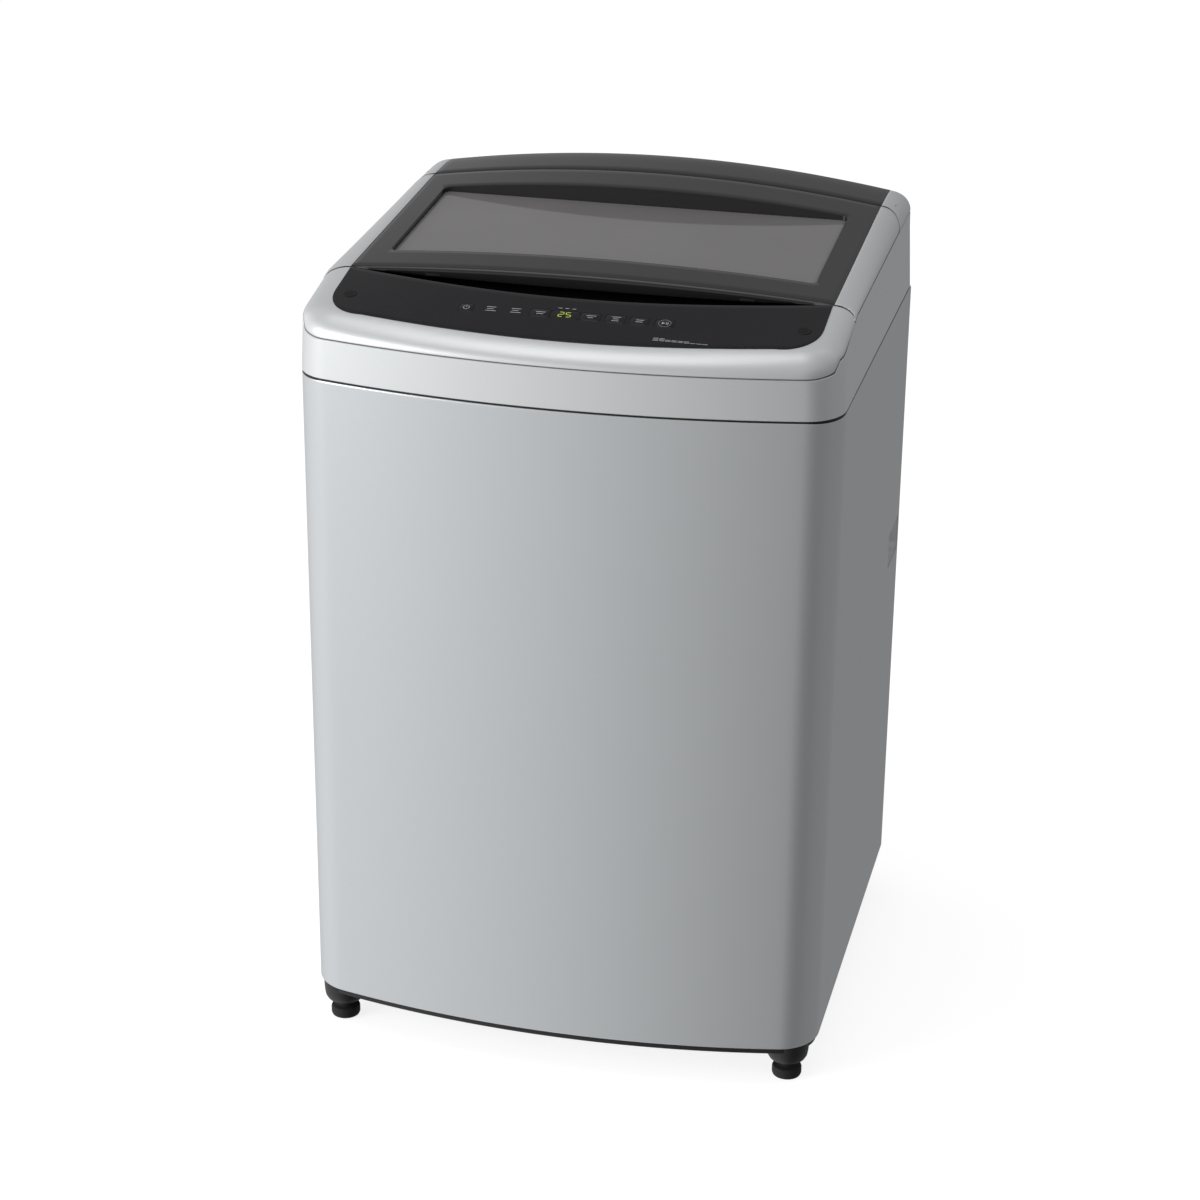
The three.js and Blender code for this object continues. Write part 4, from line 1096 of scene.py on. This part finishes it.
    def power_mark(self):
        x = KEYS["power"][0]
        self.ring_mark("mark_power", x, 3.4 * MM, 0.8 * MM, math.radians(415), math.radians(125), "key_power")
        bar = (x - 0.4 * MM, KEY_Y + 0.4 * MM, x + 0.4 * MM, KEY_Y + 4.6 * MM)
        self.printed("mark_power_bar", [bar], "key_power")

    def start_mark(self):
        x = KEYS["start_pause"][0]

        def place(u, v):
            px = x + (-3.4 + 3.8 * u) * MM
            py = KEY_Y + (v - 0.5) * 5 * MM * (1 - u)
            return px, py, top_height(px, py) + PRINT_LIFT

        done(formed("mark_start", 1, 1, place), "key_start_pause", "print_ink")
        bars = [(x + a * MM, KEY_Y - 2.4 * MM, x + (a + 0.9) * MM, KEY_Y + 2.4 * MM) for a in (1.4, 3.2)]
        self.printed("mark_pause", bars, "key_start_pause")
        self.ring_mark("mark_start_ring", x, 6.9 * MM, 0.35 * MM, 0, 2 * math.pi, "key_start_pause")

    def digits(self):
        height, width, stroke = 9 * MM, 5.4 * MM, 1.1 * MM
        gap, foot = 0.25 * MM, KEY_Y - 4.6 * MM
        segments = {
            "a": (0, 1, 1, 1),
            "b": (1, 0.5, 1, 1),
            "c": (1, 0, 1, 0.5),
            "d": (0, 0, 1, 0),
            "e": (0, 0, 0, 0.5),
            "f": (0, 0.5, 0, 1),
            "g": (0, 0.5, 1, 0.5),
        }
        rows = []
        for place, shown in enumerate(("abged", "afgcd")):
            left = DISPLAY[0] - 7.6 * MM + place * 8.4 * MM
            for mark in shown:
                x0, y0, x1, y1 = segments[mark]
                ax, bx = left + x0 * width, left + x1 * width
                ay, by = foot + y0 * height, foot + y1 * height
                if y0 == y1:
                    near, far = ax + stroke / 2 + gap, bx - stroke / 2 - gap
                    rows.append((near, ay - stroke / 2, far, ay + stroke / 2))
                else:
                    rows.append((ax - stroke / 2, ay + gap, ax + stroke / 2, by - gap))
        self.printed("display_digits", rows, "cabinet", ink="lit_segment", lift=0.9 * MM)

    def screws(self):
        for side, s in SIDES.items():
            x, y = s * 262.6 * MM, -0.221
            level = top_height(x, y)
            profile = [(0.0, 0.72), (3.6, 0.74), (5.2, 0.8), (6.0, 1.0), (6.6, 1.12), (7.1, 1.1), (7.5, 0.8)]
            profile += [(7.5, -1.0), (0.0, -1.0)]
            piece = turned(f"screw_cup_{side}", in_mm(profile, level), (x, y), 40)
            cross = []
            for dx, dy in [(3.2 * MM, 0.7 * MM), (0.7 * MM, 3.2 * MM)]:
                low, high = (x - dx, y - dy, level + 0.2 * MM), (x + dx, y + dy, level + 1.05 * MM)
                cross.append(block("slot", low, high, 0.2 * MM))
            cup = united(f"screw_cup_{side}", [piece, *cross])
            reshaped(cup, lambda p: Vector((p.x, p.y, p.z + top_height(p.x, p.y) - level)))
            done(cup, "cabinet", "screw_black")


class WASHER_OT_rear_panel(bpy.types.Operator):
    """Moulds the dark crowned panel behind the lid and the silver shoulders beside it"""

    bl_idname = "washer.rear_panel"
    bl_label = "Rear panel"

    def execute(self, context):
        def nose(x):
            """How far forward the panel reaches, clear of the lid's rear edge as it turns."""
            reach = math.hypot(LID_BACK - HINGE.y, top_height(x, LID_BACK) - HINGE.z) + 1.2 * MM
            rise = min(reach * 0.98, top_height(x, LID_BACK) - HINGE.z)
            return HINGE.y + math.sqrt(reach * reach - rise * rise)

        def place(u, v):
            x = (2 * u - 1) * (TRIM_X - 0.3 * MM)
            y0, ridge = nose(x), TOP_BACK - SHOULDER
            rows = [(y0 + y * MM, drop * MM) for y, drop in ((2, -9), (0.3, -3), (0.9, -1), (2.4, -0.15))]
            rows += [(y0 + 2.4 * MM + (ridge - y0 - 2.4 * MM) * t, 0.0) for t in (0.2, 0.4, 0.6, 0.8, 1.0)]
            level = round(v * 18)
            if level < len(rows):
                y, drop = rows[level]
                return x, y, top_height(x, y) + drop
            a = (level - len(rows) + 1) / 10 * math.pi / 2
            surface, foot = top_height(x, ridge), seam_height(BACK) + 1 * MM
            return x, ridge + SHOULDER * math.sin(a), foot + (surface - foot) * math.cos(a)

        panel = formed("crown_panel", 64, 18, place)
        faces_point(panel, (0, 0.2, 0.8))
        walled(panel, 2.6 * MM, 0.4 * MM, 55)
        done(panel, "cabinet", "lid_gloss", ["rear_panel"])

        start = rear_seam(TOP_HALF)

        def lifted(p):
            limit = rear_seam(p.x) + SEAM
            span = TOP_BACK - REAR_CORNER
            y = p.y if p.y > span - 1e-6 else span - (span - p.y) * (span - limit) / (span - start)
            return on_shoulder(Vector((p.x, y, p.z)))

        piece = drawn_line("rear_shoulders", [(TOP_HALF - inset, start, z) for inset, z in edge_section()])
        drawn_out((0, TOP_BACK - REAR_CORNER - start, 0), 14)
        spun((TOP_HALF - REAR_CORNER, TOP_BACK - REAR_CORNER, 0), math.pi / 2, 12)
        bpy.ops.mesh.select_all(action="SELECT")
        bpy.ops.mesh.remove_doubles(threshold=0.01 * MM)
        bpy.ops.mesh.bisect(plane_co=(TRIM_X + 0.3 * MM, 0, 0), plane_no=(1, 0, 0), clear_inner=True)
        bpy.ops.object.mode_set(mode="OBJECT")
        reshaped(piece, lifted)
        faces_point(piece, (0, 0, 0.8))
        walled(piece, 2.4 * MM, 0.4 * MM, 55)
        twin = mirrored(piece, "rear_shoulder_left")
        shoulders = united("rear_shoulders", [piece, twin])
        done(shoulders, "cabinet", "band_paint")
        wall = block("rear_bulkhead", (-0.300, 0.2062, 0.906), (0.300, 0.2088, 0.962), 0.4 * MM)
        reshaped(wall, lambda p: Vector((p.x, p.y, p.z if p.z < 0.93 else top_height(p.x, 0.207) - 4 * MM)))
        done(wall, "cabinet", "inner_black", ["rear_housing"])
        return {"FINISHED"}


class WASHER_OT_lid(bpy.types.Operator):
    """Moulds the lid: frame, window pane, front nose, silver edges and hinge"""

    bl_idname = "washer.lid"
    bl_label = "Lid"

    def execute(self, context):
        self.window_frame()
        self.nose()
        self.pane()
        self.edges()
        paint_node("lid_liner", "inner_black")
        for side in SIDES:
            paint_node(f"hinge_pin_{side}", "bright_steel")
        return {"FINISHED"}

    def window_frame(self):
        x = TRIM_X - 0.3 * MM
        front, back = LID_FRONT + 7.5 * MM, LID_BACK - SEAM
        outer = self.spread(rounded_loop((-x, x), (front, back), 0.6 * MM))
        inner = self.spread(self.window_loop())
        rings = [[(a, b, top_height(a, b) - 4 * MM) for a, b in outer]]
        for t in (0.0, 0.03, 0.2, 0.4, 0.6, 0.8, 0.97):
            ring = [(a + (c - a) * t, b + (d - b) * t) for (a, b), (c, d) in zip(outer, inner)]
            drop = 0.5 * MM if t == 0.0 else 0.0
            rings.append([(a, b, top_height(a, b) - drop) for a, b in ring])
        rim = [max(top_height(a, b) - 0.8 * MM, glass_height(b) + 0.2 * MM) for a, b in inner]
        rings.append([(a, b, z) for (a, b), z in zip(inner, rim)])
        rings.append([(a, b, glass_height(b) - 6 * MM) for a, b in inner])
        piece = ringed("lid_window_frame", rings)
        faces_point(piece, (0, 0, 0.5))
        modified(piece, "SOLIDIFY", thickness=2.0 * MM, offset=-1.0)
        lugs = []
        for s in SIDES.values():
            for a, b in ((259.2, 266), (281.4, 283.6)):
                near, far = sorted((s * a * MM, s * b * MM))
                low = (near, HINGE.y - 6.8 * MM, HINGE.z - 6.8 * MM)
                high = (far, HINGE.y + 6.8 * MM, HINGE.z + 10 * MM)
                lugs.append(block("lug", low, high, 1.0 * MM))
        whole = united("lid_window_frame", [piece, *lugs])
        done(whole, "lid", "lid_gloss", ["lid_frame"], angle=32)

    @staticmethod
    def window_loop(inset=0.0):
        """The outline of the window, or of a pane that stays an inset inside it."""
        across = (-WINDOW["x"] + inset, WINDOW["x"] - inset)
        return rounded_loop(across, (WINDOW["front"] + inset, WINDOW["back"] - inset), WINDOW["corner"])

    @staticmethod
    def spread(loop):
        """Points along the four sides too, the same number on any loop."""
        out = []
        for i, (a, b) in enumerate(zip(loop, loop[1:] + loop[:1])):
            side = (i + 1) % (PER_CORNER + 1) == 0
            steps = 24 if side else 1
            across, deep = b[0] - a[0], b[1] - a[1]
            out += [(a[0] + across * k / steps, a[1] + deep * k / steps) for k in range(steps)]
        return out

    def nose(self):
        def place(u, v):
            x = (2 * u - 1) * (TRIM_X - 0.4 * MM)
            drop = 3.2 * MM + 13.6 * MM * (1 - (x / TRIM_X) ** 2)
            y, top = LID_FRONT + SEAM, top_height(x, LID_FRONT + 7.2 * MM)
            roll = 6.6 * MM
            rows = [(y + roll, 0.0)]
            for a in (0.3, 0.6, 0.9, 1.2, 1.57):
                fall = min(roll * (1 - math.cos(a)), drop - 0.5 * MM) * 0.8
                rows.append((y + roll * (1 - math.sin(a)), -fall))
            rows += [(y + 0.5 * MM, -max(drop * 0.8, 3 * MM)), (y + 1.6 * MM, -drop)]
            rows += [(y + 4 * MM, -drop - 0.4 * MM), (y + 8 * MM, -drop + 1 * MM)]
            row_y, rise = rows[round(v * (len(rows) - 1))]
            return x, row_y, top + rise

        piece = formed("lid_nose", 96, 9, place)
        faces_point(piece, (0, 0, 0.9))
        modified(piece, "SOLIDIFY", thickness=1.6 * MM, offset=-1.0)
        done(piece, "lid", "lid_gloss", angle=50)
        for side, s in SIDES.items():
            x = s * 185 * MM
            level = top_height(x, LID_FRONT)
            low = (x - 9 * MM, LID_FRONT + 1.2 * MM, level - 10.5 * MM)
            high = (x + 9 * MM, LID_FRONT + 6.4 * MM, level - 6.2 * MM)
            rest = block(f"lid_rest_{side}", low, high, 1.2 * MM)
            done(rest, "lid", "rubber")

    def pane(self):
        loop = self.window_loop(0.3 * MM)
        middle = (WINDOW["front"] + WINDOW["back"]) / 2
        rings = []
        for inset, drop in [(1.0, 4.0), (0.0, 4.0), (0.0, 0.4), (0.002, 0.0), (0.02, 0.0), (1.0, 0.0)]:
            ring = [(a + (0 - a) * inset, b + (middle - b) * inset) for a, b in loop]
            rings.append([(a, b, glass_height(b) - drop * MM) for a, b in ring])
        done(ringed("lid_pane", rings), "lid", "smoked_glass", ["lid_glass"])

    def edges(self):
        section = [*edge_section()[:-1], (SHOULDER - 0.8 * MM, 1.0)]

        def place(u, v):
            inset, share = section[round(v * (len(section) - 1))]
            x = TOP_HALF - inset
            start, end = front_seam(x) + SEAM, rear_seam(x) - SEAM
            y = start + (end - start) * u
            foot = seam_height(y) + 2.0 * MM
            return x, y, foot + (top_height(x, y) - foot) * share

        right = formed("lid_edge_right", 40, len(section) - 1, place)
        faces_point(right, (0, 0, 0.9))
        walled(right, 2.4 * MM, 0.4 * MM, 55)
        left = mirrored(right, "lid_edge_left")
        done(right, "lid", "band_paint", ["lid_trim_right"])
        done(left, "lid", "band_paint", ["lid_trim_left"])


# ---- operators: the inside ----
class WASHER_OT_basket(bpy.types.Operator):
    """Turns the spin basket, its balance ring and the pulsator"""

    bl_idname = "washer.basket"
    bl_label = "Basket and pulsator"

    def execute(self, context):
        r, sheet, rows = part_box("basket_wall")[1].x, 1.4 * MM, 24
        low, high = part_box("basket_wall")[0].z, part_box("basket_wall")[1].z
        ribs = [(1.6 * MM if i % 4 == 2 else 0, low + (high - low) * i / rows) for i in range(1, rows)]
        profile = [(r - sheet, low), (r, low), *[(r - rib, z) for rib, z in ribs]]
        profile += [(r, high), (r - sheet, high), *[(r - sheet - rib, z) for rib, z in reversed(ribs)]]
        wall = turned("basket_sheet", profile, steps=120)
        done(wall, "basket", "perforated_steel", ["basket_wall"], angle=60)
        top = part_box("balance_ring")[1].z
        ring = [(204, -40), (204.5, -6), (207, -1.5), (213, 0), (236, 0), (239.5, -2), (240, -6)]
        ring += [(240, -23.5), (236.2, -24), (236, -47), (214, -47.6), (206, -45)]
        piece = turned("balance_ring_skin", in_mm(ring, top), steps=120)
        done(eased(piece, 0.8 * MM, 30), "basket", "grey_moulding", ["balance_ring"])
        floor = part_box("basket_base")[0].z
        base = [(18.4, 0), (60, 0), (70, 8), (228, 8), (235, 14), (236, 28)]
        base += [(233.5, 28), (232, 17), (226, 12), (70, 12), (60, 20), (18.4, 20)]
        piece = turned("basket_floor", in_mm(base, floor), steps=96)
        done(eased(piece, 0.6 * MM, 30), "basket", "grey_moulding", ["basket_base"])
        self.pulsator()
        paint_node("spin_shaft", "bright_steel")
        paint_node("wash_shaft", "bright_steel")
        paint_node("motor_rotor", "zinc_sheet")
        return {"FINISHED"}

    def pulsator(self):
        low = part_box("pulsator")[0].z
        dish = [(11, 0), (150, 0), (172, 9), (178, 15), (178, 21), (174, 22), (160, 18), (120, 13)]
        dish += [(80, 16), (58, 25), (42, 36), (30, 41), (11, 42)]
        piece = turned("pulsator_dish", in_mm(dish, low), steps=96)
        eased(piece, 1.2 * MM, 25)
        vanes = []
        for i in range(6):
            turn = i * math.pi / 3

            def place(u, v, turn=turn):
                reach = (44 + 122 * u) * MM
                swing = turn + 0.22 * math.sin(u * math.pi)
                across = (v - 0.5) * 2
                width = (5 + 7 * u) * MM * across
                height = low + (44 - 20 * u) * MM + 6 * MM * (1 - across**2) - 10 * MM * across**4
                x, y = reach * math.cos(swing), reach * math.sin(swing)
                return x - width * math.sin(swing), TUB_Y + y + width * math.cos(swing), height

            vane = formed("vane", 16, 8, place)
            faces_point(vane, (0, TUB_Y, 0.2))
            modified(vane, "SOLIDIFY", thickness=10 * MM, offset=-1.0)
            vanes.append(vane)
        whole = united("pulsator_dish", [piece, *vanes])
        reshaped(whole, lambda p: Vector((p.x, p.y, max(p.z, low))))
        done(whole, "agitator", "grey_moulding", ["pulsator"])
        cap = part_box("pulsator_cap")[0].z
        dome = [(0, 0), (22, 0), (22, 2), (21, 5), (18.5, 8), (13, 10.8), (6, 12), (0, 12)]
        piece = turned("pulsator_badge", in_mm(dome, cap), steps=48)
        done(piece, "agitator", "band_paint", ["pulsator_cap"])


class WASHER_OT_tub(bpy.types.Operator):
    """Turns the tub's cover, and paints the tub and what hangs under it"""

    bl_idname = "washer.tub"
    bl_label = "Tub"

    def execute(self, context):
        cover = [(206, 822), (207.5, 829), (212, 834), (264.5, 834), (266, 832.5), (266, 808)]
        cover += [(263.2, 808), (263.2, 830.6), (214, 830.6), (210, 826), (208.6, 820)]
        piece = turned("tub_rim", in_mm(cover), steps=96)
        done(eased(piece, 0.5 * MM, 30), "tub", "grey_moulding", ["tub_cover"])
        for node, paint in {
            "outer_tub": "grey_moulding",
            "bearing_housing": "cast_alloy",
            "bearing_upper": "bright_steel",
            "bearing_lower": "bright_steel",
            "motor_stator": "copper_winding",
            "drain_valve": "white_moulding",
            "drain_hose": "grey_moulding",
        }.items():
            paint_node(node, paint)
        for end in ("front", "rear"):
            for side in SIDES:
                paint_node(f"suspension_rod_{end}_{side}", "zinc_sheet")
                paint_node(f"suspension_spring_{end}_{side}", "spring_steel")
        return {"FINISHED"}


class WASHER_OT_water(bpy.types.Operator):
    """Paints the dispenser, the inlets, the lid switch and the outlets at the back"""

    bl_idname = "washer.water"
    bl_label = "Water and mains"

    def execute(self, context):
        for node, paint in {
            "dispenser_housing": "white_moulding",
            "detergent_drawer": "grey_moulding",
            "inlet_valve": "white_moulding",
            "lid_switch": "white_moulding",
            "cord_gland": "rubber",
            "drain_outlet": "grey_moulding",
        }.items():
            paint_node(node, paint)
        return {"FINISHED"}


def paint_node(name, finish_name):
    """Gives a CAD node that stays its material."""
    node = NODES[name]
    if not node.material_slots:
        node.data.materials.append(finish(finish_name))
    for slot in node.material_slots:
        slot.material = finish(finish_name)


# ---- the stage ----
class WASHER_OT_stage(bpy.types.Operator):
    """Sets the camera, the pale floor and the soft studio light"""

    bl_idname = "washer.stage"
    bl_label = "Stage"

    def execute(self, context):
        scene = context.scene
        scene.view_settings.view_transform = "Standard"
        self.camera(scene)
        self.floor()
        self.studio(scene)
        self.lamp("key_light", (-2.6, -2.3, 1.5), (0, 0, 0.55), 1.8, 38, 0.0)
        self.lamp("top_light", (-0.5, -0.3, 3.4), (0, 0, 0.9), 1.8, 11, 0.0)
        return {"FINISHED"}

    def camera(self, scene):
        data = bpy.data.cameras.new("camera")
        data.sensor_width = 36.0
        data.lens = 87.123
        camera = bpy.data.objects.new("camera", data)
        scene.collection.objects.link(camera)
        place = Vector((0.75934, -3.25214, 1.90511))
        azimuth, elevation, roll = math.radians(-13.456), math.radians(-22.958), math.radians(0.616)
        reach = math.cos(elevation)
        ahead = Vector((math.sin(azimuth) * reach, math.cos(azimuth) * reach, math.sin(elevation)))
        level = Vector((math.cos(azimuth), -math.sin(azimuth), 0))
        upright = level.cross(ahead)
        right = level * math.cos(roll) + upright * math.sin(roll)
        up = upright * math.cos(roll) - level * math.sin(roll)
        turn = Matrix((right, up, -ahead)).transposed()
        camera.matrix_world = Matrix.Translation(place) @ turn.to_4x4()
        scene.camera = camera

    def floor(self):
        deselect()
        bpy.ops.mesh.primitive_plane_add(size=14, location=(0, 0, 0))
        floor = bpy.context.object
        floor.name = "floor"
        paper = Finish("floor_paper", (0.5, 0.5, 0.5), 0.9, Specular_IOR_Level=0.0, Emission_Strength=1.0)
        cloud = paper.noise(2.0)
        paper.set(Base_Color=paper.mixed(cloud, (0.50, 0.50, 0.50), (0.52, 0.52, 0.52)))
        paper.set(Emission_Color=paper.mixed(cloud, (0.82, 0.82, 0.82), (0.83, 0.83, 0.83)))
        floor.data.materials.append(paper.material)
        floor.visible_glossy = floor.visible_diffuse = False

    def studio(self, scene):
        """Light from the front left and above, darker to the right, and a plain white backdrop."""
        world = bpy.data.worlds.new("studio")
        world.use_nodes = True
        scene.world = world
        tree = Nodes(world.node_tree)
        x, y, z = tree.parts(tree.node("ShaderNodeTexCoord", output="Generated"))
        turn = x.math("ARCTAN2", y * -1.0) * (0.5 / math.pi) + 0.5
        stops = [(0.0, 0.26), (0.25, 0.88), (0.375, 0.92), (0.464, 0.66)]
        stops += [(0.544, 0.25), (0.63, 0.09), (0.75, 0.25), (1.0, 0.3)]
        around = tree.ramp(turn, stops)
        height = (z - 0.25).math("MULTIPLY", 2.4, clamp=True)
        light = tree.mixed(height, around, (0.36, 0.36, 0.36))
        seen = tree.node("ShaderNodeLightPath", output="Is Camera Ray")
        shown = tree.mixed(seen, light, (1.0, 1.0, 1.0))
        background = world.node_tree.nodes["Background"]
        feed(tree.tree, background.inputs["Color"], shown)
        background.inputs["Strength"].default_value = 1.0

    def lamp(self, name, place, target, size, power, shine):
        data = bpy.data.lights.new(name, "AREA")
        data.shape = "DISK"
        data.size = size
        data.energy = power
        data.specular_factor = shine
        lamp = bpy.data.objects.new(name, data)
        bpy.context.scene.collection.objects.link(lamp)
        lamp.location = place
        lamp.rotation_mode = "QUATERNION"
        lamp.rotation_quaternion = (Vector(target) - Vector(place)).to_track_quat("-Z", "Y")


class WASHER_PT_panel(bpy.types.Panel):
    """Lists the pieces of the washing machine"""

    bl_idname = "WASHER_PT_panel"
    bl_label = "Washing machine"
    bl_space_type = "VIEW_3D"
    bl_region_type = "UI"
    bl_category = "Washer"

    def draw(self, context):
        for step in STEPS:
            self.layout.operator(step.bl_idname)
        for group in (context.scene.washer_sizes, context.scene.washer_colours):
            for name in group.bl_rna.properties.keys():
                if name not in ("name", "rna_type"):
                    self.layout.prop(group, name)


STEPS = [
    WASHER_OT_stage,
    WASHER_OT_cabinet,
    WASHER_OT_base,
    WASHER_OT_top_cover,
    WASHER_OT_control_panel,
    WASHER_OT_rear_panel,
    WASHER_OT_lid,
    WASHER_OT_basket,
    WASHER_OT_tub,
    WASHER_OT_water,
]
CLASSES = [Washer_Sizes, Washer_Colours, *STEPS, WASHER_PT_panel]


def register():
    for cls in CLASSES:
        bpy.utils.register_class(cls)
    bpy.types.Scene.washer_sizes = bpy.props.PointerProperty(type=Washer_Sizes)
    bpy.types.Scene.washer_colours = bpy.props.PointerProperty(type=Washer_Colours)


def unregister():
    del bpy.types.Scene.washer_colours
    del bpy.types.Scene.washer_sizes
    for cls in reversed(CLASSES):
        bpy.utils.unregister_class(cls)


def main():
    register()
    for step in STEPS:
        group, name = step.bl_idname.split(".")
        getattr(getattr(bpy.ops, group), name)()


if __name__ == "__main__":
    main()
